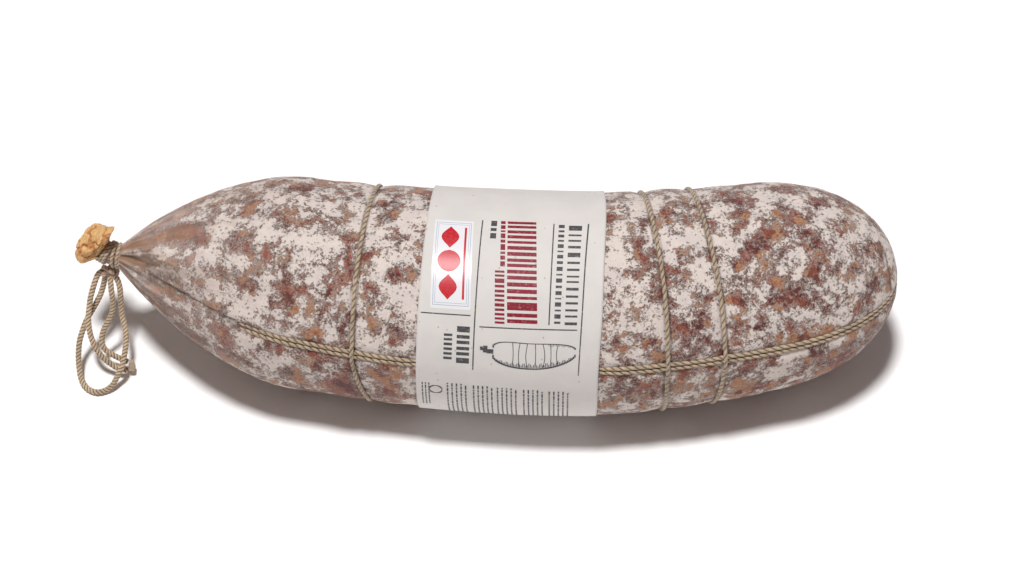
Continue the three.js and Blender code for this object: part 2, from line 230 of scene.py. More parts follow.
def hashed(cells, seed):
    """A repeatable value from 0 to 1 for each whole-numbered cell: the fraction of a large sine."""
    mixed = cells @ np.array([127.1, 311.7, 74.7]) + seed * 53.3
    return np.modf(np.abs(np.sin(mixed) * 43758.5453))[0]


def noise(points, size, seed=0):
    """Value noise from -1 to 1: random values on a lattice of the given size, eased between."""
    scaled = points / size
    cell = np.floor(scaled)
    part = scaled - cell
    part = part * part * (3 - 2 * part)
    total = np.zeros(points.shape[:-1])
    for corner in np.ndindex(2, 2, 2):
        corner = np.array(corner)
        weight = np.prod(np.where(corner == 1, part, 1 - part), axis=-1)
        total += weight * hashed(cell + corner, seed)
    return 2 * total - 1


def fractal(points, size, octaves, seed=0, falloff=0.5):
    """Octaves of noise, each half the size and falloff times the height of the one before."""
    total = np.zeros(points.shape[:-1])
    height = 1.0
    for octave in range(octaves):
        total += height * noise(points, size / 2**octave, seed + 11 * octave)
        height *= falloff
    return total


def barrel_radius(x):
    """The fullest radius less a parabola, down to the shoulder's where the taper ends."""
    s = sizes()
    share = (x - s.belly_station) / (s.belly_station - s.taper_length)
    return s.belly_radius - (s.belly_radius - s.shoulder_radius) * share**2


def dome_share(share):
    """The other side of a quarter of a rounded square: share^p plus this^p is 1."""
    power = sizes().dome_power
    return np.maximum(1 - share**power, 0) ** (1 / power)


def skin_radius(x):
    """The taper's power curve, then the barrel, then the barrel times the round end's share."""
    s = sizes()
    fullness = 1 - np.maximum(1 - np.maximum(x, 0) / s.taper_length, 0) ** s.taper_power
    taper = s.neck_radius + (s.shoulder_radius - s.neck_radius) * fullness
    dome_station = s.body_length - s.dome_length
    into = np.clip((x - dome_station) / s.dome_length, 0, 1)
    return np.where(x < s.taper_length, taper, barrel_radius(x) * dome_share(into))


def spine(x):
    """The middle line: it bows away from -Y by power curves either side of the bow station."""
    s = sizes()
    to_neck = np.maximum((s.bow_station - x) / s.bow_station, 0)
    to_tip = np.maximum((x - s.bow_station) / (s.body_length - s.bow_station), 0)
    y = s.neck_bow * to_neck**1.8 + s.tip_bow * to_tip**1.5
    share = np.maximum(1 - np.maximum(x, 0) / s.taper_length, 0)
    lift = s.neck_lift * share**2 + s.taper_crest * 6.75 * (1 - share) * share**2
    z = s.belly_radius - s.floor_press + lift
    return np.stack([x + 0 * y, y, z + 0 * y], axis=-1)


def section_axes(x):
    """Unit vectors at each station: out to the front, level, and along the spine, level."""
    s = sizes()
    ahead = spine(np.minimum(x + s.bend_span, s.body_length))
    behind = spine(np.maximum(x - s.bend_span, 0))
    yaw = np.arctan2(ahead[..., 1] - behind[..., 1], ahead[..., 0] - behind[..., 0])
    zero = np.zeros_like(yaw)
    front = np.stack([np.sin(yaw), -np.cos(yaw), zero], axis=-1)
    along = np.stack([np.cos(yaw), np.sin(yaw), zero], axis=-1)
    return front, along


def shift():
    """From the neck's frame to the model's: the pressed cord end's node lies at a known place."""
    low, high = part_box("cord_end")
    return np.array((low + high) / 2) - np.array(CORD_END_CENTRE) * MM


def at_section(x, front, up, floor=0.0):
    """A point at a station, offset to the front and up from the spine, never under the floor."""
    place = spine(x) + front[..., None] * section_axes(x)[0]
    place[..., 2] = np.maximum(place[..., 2] + up, floor)
    return place + shift()


def on_skin(x, angle, lift=0.0, floor=0.0):
    """A point on the skin at a station and an angle from the front upwards, lifted outwards."""
    radius = skin_radius(x) + lift
    return at_section(x, radius * np.cos(angle), radius * np.sin(angle), floor)


# Meshes


def piece_from(name, vertices, faces, material, smooth_faces=True):
    """A mesh object with its place in its vertices, which rides on the body."""
    mesh = bpy.data.meshes.new(name)
    mesh.from_pydata(vertices.reshape(-1, 3).tolist(), [], faces)
    mesh.shade_smooth() if smooth_faces else mesh.shade_flat()
    mesh.materials.append(material)
    piece = bpy.data.objects.new(name, mesh)
    bpy.context.scene.collection.objects.link(piece)
    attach(piece, "root")
    return piece


def grid_faces(rows, columns, wrap_columns=True, wrap_rows=False):
    """Quads between neighbouring rows and columns of a grid, as an array of vertex numbers."""
    row_count = rows if wrap_rows else rows - 1
    column_count = columns if wrap_columns else columns - 1
    r, c = np.meshgrid(np.arange(row_count), np.arange(column_count), indexing="ij")
    r2, c2 = (r + 1) % rows, (c + 1) % columns
    quads = np.stack([r * columns + c, r * columns + c2, r2 * columns + c2, r2 * columns + c], -1)
    return quads.reshape(-1, 4)


def fan(centre, ring):
    """Triangles from a centre vertex to each side of a ring."""
    return np.stack([np.full(len(ring), centre), ring, np.roll(ring, -1)], -1)


def closed_tube(rings, reverse=False):
    """The vertices and faces of a tube of rings, (rows, columns, 3), with a fan on each end."""
    rows, columns = rings.shape[:2]
    first, last = rows * columns, rows * columns + 1
    vertices = np.concatenate([rings.reshape(-1, 3), [rings[0].mean(0)], [rings[-1].mean(0)]])
    start = np.arange(columns)
    faces = grid_faces(rows, columns).tolist()
    faces += fan(first, start[::-1]).tolist() + fan(last, start + (rows - 1) * columns).tolist()
    if reverse:
        faces = [face[::-1] for face in faces]
    return vertices, faces


def joined(shapes):
    """Several (vertices, faces) as one."""
    vertices, faces, start = [], [], 0
    for part_vertices, part_faces in shapes:
        part_vertices = np.asarray(part_vertices).reshape(-1, 3)
        vertices.append(part_vertices)
        faces += [[i + start for i in face] for face in part_faces]
        start += len(part_vertices)
    return np.concatenate(vertices), faces


def set_values(piece, name, values=(), rest=0.0):
    """A number on each vertex, which the piece's material reads. The last ones take rest."""
    filled = np.full(len(piece.data.vertices), rest, np.float32)
    filled[: np.size(values)] = np.ravel(values)
    attribute = piece.data.attributes.new(name, "FLOAT", "POINT")
    attribute.data.foreach_set("value", filled)


def spaced_path(points, step):
    """A centripetal Catmull-Rom curve through given points, sampled about step apart."""
    p = np.asarray(points, float)
    p = np.concatenate([[2 * p[0] - p[1]], p, [2 * p[-1] - p[-2]]])
    knots = np.concatenate([[0], np.cumsum(np.linalg.norm(np.diff(p, axis=0), axis=1) ** 0.5)])
    dense = np.linspace(knots[1], knots[-2], 60 * len(points))
    i = np.clip(np.searchsorted(knots, dense, side="right") - 1, 1, len(p) - 3)
    t = dense[:, None]
    k = [knots[i + j][:, None] for j in (-1, 0, 1, 2)]
    q = [p[i + j] for j in (-1, 0, 1, 2)]

    def between(a, b, u, v):
        return ((v - t) * a + (t - u) * b) / (v - u)

    a = [between(q[j], q[j + 1], k[j], k[j + 1]) for j in range(3)]
    b = [between(a[j], a[j + 1], k[j], k[j + 2]) for j in range(2)]
    curve = between(b[0], b[1], k[1], k[2])
    along = np.concatenate([[0], np.cumsum(np.linalg.norm(np.diff(curve, axis=0), axis=1))])
    at = np.linspace(0, along[-1], max(2, math.ceil(along[-1] / step) + 1))
    return np.stack([np.interp(at, along, curve[:, j]) for j in range(3)], axis=1)


def twisted_rings(path, radius, plies, pitch, side, sides=18, groove=0.3, closed=False):
    """Rings of a laid cord along a path, and how deep in a groove between plies each vertex is.

    The radius at an angle is the full radius less groove times how near the angle, turned by one
    turn each pitch, is to the join of two plies. side is a direction, or one for each point, that
    the path never runs along.
    """
    if closed:
        tangent = unit(np.roll(path, -1, 0) - np.roll(path, 1, 0))
        gaps = np.linalg.norm(np.roll(path, -1, 0) - path, axis=1)
        travelled = np.concatenate([[0], np.cumsum(gaps)[:-1]])
        pitch = gaps.sum() / max(1, round(gaps.sum() / pitch))
    else:
        tangent = unit(np.gradient(path, axis=0))
        gaps = np.linalg.norm(np.diff(path, axis=0), axis=1)
        travelled = np.concatenate([[0], np.cumsum(gaps)])
    side = np.broadcast_to(np.asarray(side, float), path.shape)
    normal = unit(side - (side * tangent).sum(-1, keepdims=True) * tangent)
    across = np.cross(tangent, normal)
    angle = np.linspace(0, 2 * np.pi, sides, endpoint=False)[None, :]
    turned = angle - 2 * np.pi * travelled[:, None] / pitch
    ridge = np.abs(np.cos(plies * turned / 2))
    depth = (1 - ridge) ** 1.5
    r = radius * (1 - groove * depth)
    out = np.cos(angle)[..., None] * normal[:, None] + np.sin(angle)[..., None] * across[:, None]
    return path[:, None] + r[..., None] * out, depth


# Node materials


def add_node(tree, kind, settings=None, inputs=None):
    """One node, with its settings, and its inputs as values or as the sockets that feed them."""
    node = tree.nodes.new(kind)
    for key, value in (settings or {}).items():
        setattr(node, key, value)
    for key, value in (inputs or {}).items():
        socket = node.inputs[key]
        if isinstance(value, bpy.types.NodeSocket):
            tree.links.new(value, socket)
        else:
            socket.default_value = value
    return node


def new_material(name, roughness, specular=0.5, sheen=0.0):
    """A material, its tree and its shader, with the finish's uniform values on the shader."""
    material = bpy.data.materials.new(name)
    material.use_nodes = True
    tree = material.node_tree
    shader = next(n for n in tree.nodes if n.type == "BSDF_PRINCIPLED")
    shader.inputs["Roughness"].default_value = roughness
    shader.inputs["Specular IOR Level"].default_value = specular
    shader.inputs["Sheen Weight"].default_value = sheen
    return material, tree, shader


def mixed(tree, factor, first, second, blend="MIX"):
    """The colour of a mix node between two colours."""
    node = add_node(tree, "ShaderNodeMix", {"data_type": "RGBA", "blend_type": blend})
    for index, value in ((0, factor), (6, first), (7, second)):
        if isinstance(value, bpy.types.NodeSocket):
            tree.links.new(value, node.inputs[index])
        else:
            node.inputs[index].default_value = value
    return node.outputs[2]


def computed(tree, operation, first, second, third=0.0):
    """The value of a math node."""
    inputs = {0: first, 1: second, 2: third}
    return add_node(tree, "ShaderNodeMath", {"operation": operation}, inputs).outputs[0]


def product(tree, first, second):
    return computed(tree, "MULTIPLY", first, second)


def shaded(tree, base, value, low, high, dark, light):
    """A colour times a value that is eased from dark at low to light at high."""
    return mixed(tree, 1.0, base, ramped(tree, value, low, high, dark, light), "MULTIPLY")


def ramped(tree, value, low, high, out_low=0.0, out_high=1.0):
    """The value eased from out_low at low to out_high at high."""
    settings = {"interpolation_type": "SMOOTHSTEP", "clamp": True}
    limits = {"From Min": low, "From Max": high, "To Min": out_low, "To Max": out_high}
    return add_node(tree, "ShaderNodeMapRange", settings, {"Value": value, **limits}).outputs[0]


def object_millimetres(tree):
    """Object coordinates in millimetres."""
    place = add_node(tree, "ShaderNodeTexCoord").outputs["Object"]
    inputs = {"Vector": place, "Scale": (1 / MM,) * 3}
    return add_node(tree, "ShaderNodeMapping", {}, inputs).outputs[0]


def noise_value(tree, vector, size_mm, detail=3.0, roughness=0.55, distortion=0.0, output="Fac"):
    """Noise with features of about that size, on coordinates in millimetres."""
    inputs = {
        "Vector": vector, "Scale": 1 / size_mm, "Detail": detail, "Roughness": roughness,
        "Distortion": distortion,
    }
    return add_node(tree, "ShaderNodeTexNoise", {}, inputs).outputs[output]


def cells(tree, vector, size_mm):
    """The distance to the nearest of some scattered points, and two random values for it."""
    inputs = {"Vector": vector, "Scale": 1 / size_mm}
    texture = add_node(tree, "ShaderNodeTexVoronoi", {"feature": "F1"}, inputs)
    random = add_node(tree, "ShaderNodeSeparateColor", {}, {"Color": texture.outputs["Color"]})
    return texture.outputs["Distance"], random.outputs[0], random.outputs[1]


def attribute_value(tree, name):
    return add_node(tree, "ShaderNodeAttribute", {"attribute_name": name}).outputs["Fac"]


def bumped(tree, shader, height, depth_mm, strength):
    """A bump of that depth on the shader, from a height from 0 to 1."""
    inputs = {"Height": height, "Distance": depth_mm * MM, "Strength": strength}
    bump = add_node(tree, "ShaderNodeBump", {}, inputs)
    tree.links.new(bump.outputs[0], shader.inputs["Normal"])


def casing_material():
    """Natural casing over coarse cured meat, ripened under white mould.

    The eye sees lean meat and fat through a thin skin, and over them a dry powdery bloom in patches
    that is thick on the ridges and worn off between, with dark specks where it is young.
    """
    c = colours()
    material, tree, shader = new_material("natural_casing_with_bloom", 0.8, specular=0.3, sheen=0.1)
    plain = object_millimetres(tree)

    def pushed(size, reach):
        """The coordinates moved about by coloured noise."""
        warp = noise_value(tree, plain, size, 3.0, 0.6, output="Color")
        inputs = {0: warp, 1: (reach,) * 3, 2: plain}
        settings = {"operation": "MULTIPLY_ADD"}
        return add_node(tree, "ShaderNodeVectorMath", settings, inputs).outputs[0]

    ragged = pushed(1.7, 3.4)
    swirled = pushed(5.0, 5.0)
    # Chopped lean and fat, 4 to 8 mm across
    _, pick, _ = cells(tree, ragged, 6.2)
    lean = mixed(tree, ramped(tree, pick, 0.42, 0.2), tuple(c.meat), tuple(c.deep_meat))
    meat = mixed(tree, ramped(tree, pick, 0.62, 0.74), lean, tuple(c.fat))
    small = noise_value(tree, ragged, 1.3, 4.0, 0.65)
    meat = shaded(tree, meat, small, 0.32, 0.68, 0.6, 1.3)

    # The bloom's height: broad patches, flakes and powder, and more where the skin has more
    broad = noise_value(tree, swirled, 12.0, 2.0, 0.5)
    flakes = noise_value(tree, swirled, 4.6, 10.0, 0.78, 0.2)
    powder = noise_value(tree, plain, 0.9, 4.0, 0.75)
    cover = computed(tree, "MULTIPLY_ADD", broad, 0.7, flakes)
    cover = computed(tree, "MULTIPLY_ADD", powder, 0.45, cover)
    cover = computed(tree, "ADD", cover, attribute_value(tree, "bloom"))
    bare = attribute_value(tree, "bare")
    cover = computed(tree, "MULTIPLY_ADD", bare, -0.3, cover)
    thin = ramped(tree, cover, 0.955, 1.04)
    thick = ramped(tree, cover, 1.02, 1.105)
    crumbs = ramped(tree, powder, 0.35, 0.62, 0.45, 1.0)
    dusted = product(tree, thin, product(tree, crumbs, 0.8))
    surface = mixed(tree, dusted, meat, tuple(c.thin_bloom))
    surface = mixed(tree, product(tree, thick, 0.95), surface, tuple(c.bloom))
    blue = noise_value(tree, swirled, 9.0, 2.0)
    tint = mixed(tree, ramped(tree, blue, 0.4, 0.62), (1, 1, 1, 1), (0.92, 0.92, 0.95, 1))
    surface = mixed(tree, 1.0, surface, tint, "MULTIPLY")

    # Dark specks on and round the flakes
    away, _, chance = cells(tree, pushed(0.8, 1.6), 1.7)
    rim = product(tree, ramped(tree, cover, 0.95, 1.05), ramped(tree, cover, 1.2, 1.1))
    likely = computed(tree, "MULTIPLY_ADD", rim, 0.3, chance)
    speck = product(tree, ramped(tree, away, 0.42, 0.26), ramped(tree, likely, 0.7, 0.82))
    surface = mixed(tree, product(tree, speck, 0.5), surface, tuple(c.speck))

    # Streaks at the neck, pale ones of mould and dark ones of painted shade for the pleats' valleys,
    # bare skin, and painted shade in the creases
    streak = attribute_value(tree, "streak")
    light = mixed(tree, ramped(tree, streak, 0.1, 0.9), tuple(c.thin_bloom), tuple(c.bloom))
    near = attribute_value(tree, "pleated")
    surface = mixed(tree, product(tree, near, 0.62), surface, light)
    # Dark streaks near the neck, painted as the shade in the pleats' valleys
    dark = product(tree, near, ramped(tree, streak, -0.05, -0.6))
    surface = mixed(tree, product(tree, dark, 0.75), surface, tuple(c.pleat_valley_shade))
    showing = product(tree, bare, ramped(tree, streak, 0.35, -0.15))
    surface = mixed(tree, product(tree, showing, 0.5), surface, tuple(c.bare_casing))
    # Painted shade in the creases, in the specks' dark colour
    crease_shade = attribute_value(tree, "crease_shade")
    surface = mixed(tree, ramped(tree, crease_shade, 0.0, 1.0, 0.0, 0.85), surface, tuple(c.speck))
    tree.links.new(surface, shader.inputs["Base Color"])
    tree.links.new(ramped(tree, thick, 0, 1, 0.52, 0.95), shader.inputs["Roughness"])
    height = computed(tree, "MULTIPLY_ADD", thick, 0.45, product(tree, small, 0.5))
    height = computed(tree, "MULTIPLY_ADD", powder, 0.6, height)
    height = computed(tree, "MULTIPLY_ADD", speck, -0.4, height)
    bumped(tree, shader, height, 0.75, 1.0)
    return material


def tuft_material():
    """Dry hog casing, bunched and cut: horn-like, a little see-through, with painted shade in its
    folds.
    """
    c = colours()
    material, tree, shader = new_material("dry_casing_tuft", 0.55, specular=0.4)
    plain = object_millimetres(tree)
    fold = attribute_value(tree, "fold")
    # Painted shade where the tuft's creases are
    base = mixed(tree, ramped(tree, fold, 0.1, 0.8), tuple(c.tuft), tuple(c.tuft_fold_shade))
    veins = noise_value(tree, plain, 1.5, 4.0, 0.6, 1.0)
    base = shaded(tree, base, veins, 0.3, 0.7, 0.75, 1.2)
    tree.links.new(base, shader.inputs["Base Color"])
    shader.inputs["Subsurface Weight"].default_value = 0.25
    shader.inputs["Subsurface Radius"].default_value = (0.003, 0.0016, 0.0008)
    bumped(tree, shader, veins, 0.4, 0.8)
    return material


def strand_material(name, light, deep, dust=False):
    """Laid vegetable fibre: matt and hairy, with painted shade between its plies, dusted white by
    the mould.
    """
    material, tree, shader = new_material(name, 0.85, specular=0.2, sheen=0.3)
    plain = object_millimetres(tree)
    groove = attribute_value(tree, "groove")
    fibres = noise_value(tree, plain, 0.9, 3.0, 0.7, 0.5)
    stain = noise_value(tree, plain, 9.0, 2.0)
    # Painted shade in the grooves between the plies
    base = mixed(tree, ramped(tree, groove, 0.12, 0.75), light, deep)
    base = shaded(tree, base, fibres, 0.3, 0.7, 0.78, 1.15)
    base = shaded(tree, base, stain, 0.3, 0.7, 0.85, 1.08)
    if dust:
        settled = computed(tree, "MULTIPLY_ADD", fibres, 0.8, attribute_value(tree, "dust"))
        grey = product(tree, ramped(tree, settled, 0.75, 1.1), 0.75)
        base = mixed(tree, grey, base, tuple(colours().thin_bloom))
    tree.links.new(base, shader.inputs["Base Color"])
    bumped(tree, shader, fibres, 0.15, 0.7)
    return material


def paper_material():
    """Uncoated recycled paper: matt, warm light grey, with flecks of fibre."""
    material, tree, shader = new_material("recycled_label_paper", 0.75, specular=0.35)
    plain = object_millimetres(tree)
    away, chance, shade = cells(tree, plain, 4.2)
    mark = product(tree, ramped(tree, away, 0.13, 0.07), ramped(tree, chance, 0.5, 0.7))
    brown_fleck, grey_fleck = linear("9A6A58"), linear("8C8A88")
    cloud = noise_value(tree, plain, 12.0, 3.0)
    base = shaded(tree, tuple(colours().paper), cloud, 0.3, 0.7, 0.97, 1.02)
    base = mixed(tree, product(tree, mark, 0.55), base, mixed(tree, shade, brown_fleck, grey_fleck))
    tree.links.new(base, shader.inputs["Base Color"])
    pulp = noise_value(tree, plain, 0.6, 2.0)
    bumped(tree, shader, pulp, 0.04, 0.5)
    return material


def ink_material(name, ink, gloss=0.6, wear=0.35):
    """Offset ink on paper: thin, slightly uneven, matt as the paper under it."""
    material, tree, shader = new_material(name, gloss, specular=0.35)
    uneven = noise_value(tree, object_millimetres(tree), 1.4, 3.0, 0.7)
    share = ramped(tree, uneven, 0.52, 0.75, 0.0, wear)
    tree.links.new(mixed(tree, share, ink, tuple(colours().paper)), shader.inputs["Base Color"])
    return material


# Stage


class SAUSAGE_OT_stage(bpy.types.Operator):
    """Make the camera, the pale floor and the soft studio light"""

    bl_idname = "sausage.stage"
    bl_label = "Stage"

    def execute(self, context):
        scene = context.scene
        low, high = cad_box
        centre = Vector(((low.x + high.x) / 2, (low.y + high.y) / 2, AIM_HEIGHT))
        camera = bpy.data.objects.new("camera", bpy.data.cameras.new("camera"))
        scene.collection.objects.link(camera)
        back = Vector((0, -math.cos(ELEVATION), math.sin(ELEVATION)))
        camera.location = centre + Vector(AIM_SHIFT) + back * DISTANCE
        camera.rotation_mode = "QUATERNION"
        camera.rotation_quaternion = (-back).to_track_quat("-Z", "Y")
        camera.data.lens = LENS
        camera.data.sensor_width = 36
        camera.data.clip_start, camera.data.clip_end = 0.01, 50
        scene.camera = camera

        half, side = 4.0, 5
        places = np.linspace(-half, half, side)
        x, y = np.meshgrid(places, places, indexing="ij")
        vertices = np.stack([x, y, np.zeros_like(x)], -1).reshape(-1, 3)
        mesh = bpy.data.meshes.new("floor")
        mesh.from_pydata(vertices.tolist(), [], grid_faces(side, side, False)[:, ::-1].tolist())
        floor = bpy.data.objects.new("floor", mesh)
        scene.collection.objects.link(floor)
        material, _, shader = new_material("white_studio_floor", 0.9, specular=0.1)
        shader.inputs["Base Color"].default_value = linear("FEFDFD")
        mesh.materials.append(material)

        # A far softbox, almost overhead, a little to the left and to the front
        key = bpy.data.objects.new("key_softbox", bpy.data.lights.new("key_softbox", "SUN"))
        key.data.angle = math.radians(KEY_WIDTH_DEGREES)
        key.data.energy = KEY_STRENGTH
        key.rotation_mode = "QUATERNION"
        key.rotation_quaternion = Vector(KEY_DIRECTION).to_track_quat("-Z", "Y")
        scene.collection.objects.link(key)
        world = bpy.data.worlds.new("studio")
        world.use_nodes = True
        world.node_tree.nodes["Background"].inputs[0].default_value = linear("F6EAE6")
        world.node_tree.nodes["Background"].inputs[1].default_value = FILL_STRENGTH
        scene.world = world
        scene.view_settings.view_transform = "Standard"
        return {"FINISHED"}


# Cords


def laid_piece(name, path, radius, material, plies, pitch, side, **more):
    """A closed tube of laid cord with its groove depth on each vertex, which the material paints as
    shade.
    """
    rings, depth = twisted_rings(path, radius, plies, pitch, side, **more)
    if more.get("closed"):
        vertices, faces = rings, grid_faces(*rings.shape[:2], wrap_rows=True).tolist()
    else:
        vertices, faces = closed_tube(rings)
    piece = piece_from(name, vertices, faces, material)
    set_values(piece, "groove", depth)
    return piece


class SAUSAGE_OT_cords(bpy.types.Operator):
    """Make the hanging loop and its two tails"""

    bl_idname = "sausage.cords"
    bl_label = "Hanging cords"

    def execute(self, context):
        s, c = sizes(), colours()
        material = strand_material("laid_jute_cord", tuple(c.cord), tuple(c.cord_groove_shade))
        routes = {
            "hanging_cord": (LOOP_ROUTE, ["hanging_loop"], "object"),
            "tail_cord_left": (LEFT_TAIL_ROUTE, ["cord_tail_left"], "bare"),
            "tail_cord_right": (RIGHT_TAIL_ROUTE, ["cord_tail_right"], "bare"),
        }
        for name, (route, nodes, far_end) in routes.items():
            path = spaced_path(np.array(route) * MM + shift(), 0.25 * MM)
            piece = laid_piece(
                name, path, s.cord_radius, material, 3, 5.4 * MM, CORD_SIDE, groove=0.24
            )
            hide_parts(*nodes)
        return {"FINISHED"}


# The body


def neck_path():
    """The neck's middle line, from inside the body to the tuft, and which point starts it."""
    s = sizes()
    start = spine(np.array(0.0)) + shift()
    bend = start + s.neck_length * 0.62 * NECK_DIRECTION + s.neck_length * 0.38 * TUFT_DIRECTION
    points = [
        start - 4 * MM * NECK_DIRECTION, start, start + s.neck_length / 2 * NECK_DIRECTION, bend,
        bend + 4 * MM * TUFT_DIRECTION,
    ]
    path = spaced_path(points, 0.1 * MM)
    return path, np.linalg.norm(path - start, axis=1).argmin()


def on_neck(distance):
    """The middle point and tangent at a distance along the neck from the body."""
    path, first = neck_path()
    i = np.clip(first + np.round(distance / (0.1 * MM)).astype(int), 0, len(path) - 2)
    return path[i], unit(path[i + 1] - path[i])


def front_crossing(x):
    """The lengthwise twine's angle on the front: a constant that rises towards the neck."""
    near_neck = np.maximum(1 - x / (150 * MM), 0) ** 1.5
    return np.radians(13 + 18 * near_neck)


NECK_DIRECTION = unit(np.array([-0.97, 0.16, 0.18]))
TUFT_DIRECTION = unit(np.array([-0.827, 0.39, 0.42]))


def wrapped(angle):
    """An angle's smallest size, whichever way round."""
    return np.abs((angle + np.pi) % (2 * np.pi) - np.pi)


def ring_station(share, angle):
    """A ring's station at an angle: level, with a sway and a step aside under the crossing."""
    station = sizes().body_length * share
    under = smooth(math.radians(12), math.radians(-32), angle)
    sway = 0.7 * np.sin(2 * angle + 9 * share)
    return station + (RING_STEPS[share] * under + sway) * MM


def label_edges():
    """The stations of the label's two edges before the right one is cut askew."""
    s = sizes()
    start = s.label_centre - s.label_width / 2
    return start, start + s.label_width


def fanned(x, angle, stretch, round_mm):
    """Coordinates for streaks that run along the body: angles on a circle, and stations pressed."""
    circle = round_mm * MM
    return np.stack([x / stretch, circle * np.cos(angle), circle * np.sin(angle)], -1)


def label_slant(degrees):
    """How many millimetres the band's right edge is cut askew, at an angle up from the front.

    It runs to the right over the top and to the left under the front, and is straight behind.
    """
    to_right = 3.5 * smooth(50, 120, degrees) * smooth(182, 150, degrees)
    to_left = 2.2 * smooth(62, 5, degrees) * smooth(-80, -50, degrees)
    return to_right - to_left


def pair_distance(x, angle):
    """How far a point on the skin is from the middle of the two lengthwise strands.

    Along the body it is the arc to the front or back angle. Over the round end, seen end on, it is
    the distance from the straight line between those two angles.
    """
    s = sizes()
    arc = np.minimum(wrapped(angle - front_crossing(x)), wrapped(angle - BACK_ANGLE))
    along_body = arc * skin_radius(x)
    a, b = FRONT_ANGLE, BACK_ANGLE
    edge = barrel_radius(s.body_length - s.dome_length)
    radius = skin_radius(x) * edge / barrel_radius(x)
    from_a = np.stack([radius * np.cos(angle), radius * np.sin(angle)], -1)
    from_a = from_a - edge * np.array([math.cos(a), math.sin(a)])
    line = np.array([math.cos(b) - math.cos(a), math.sin(b) - math.sin(a)])
    line = line / np.linalg.norm(line)
    over_dome = np.abs(from_a[..., 0] * line[1] - from_a[..., 1] * line[0])
    return np.where(x < s.body_length - s.dome_length, along_body, over_dome)


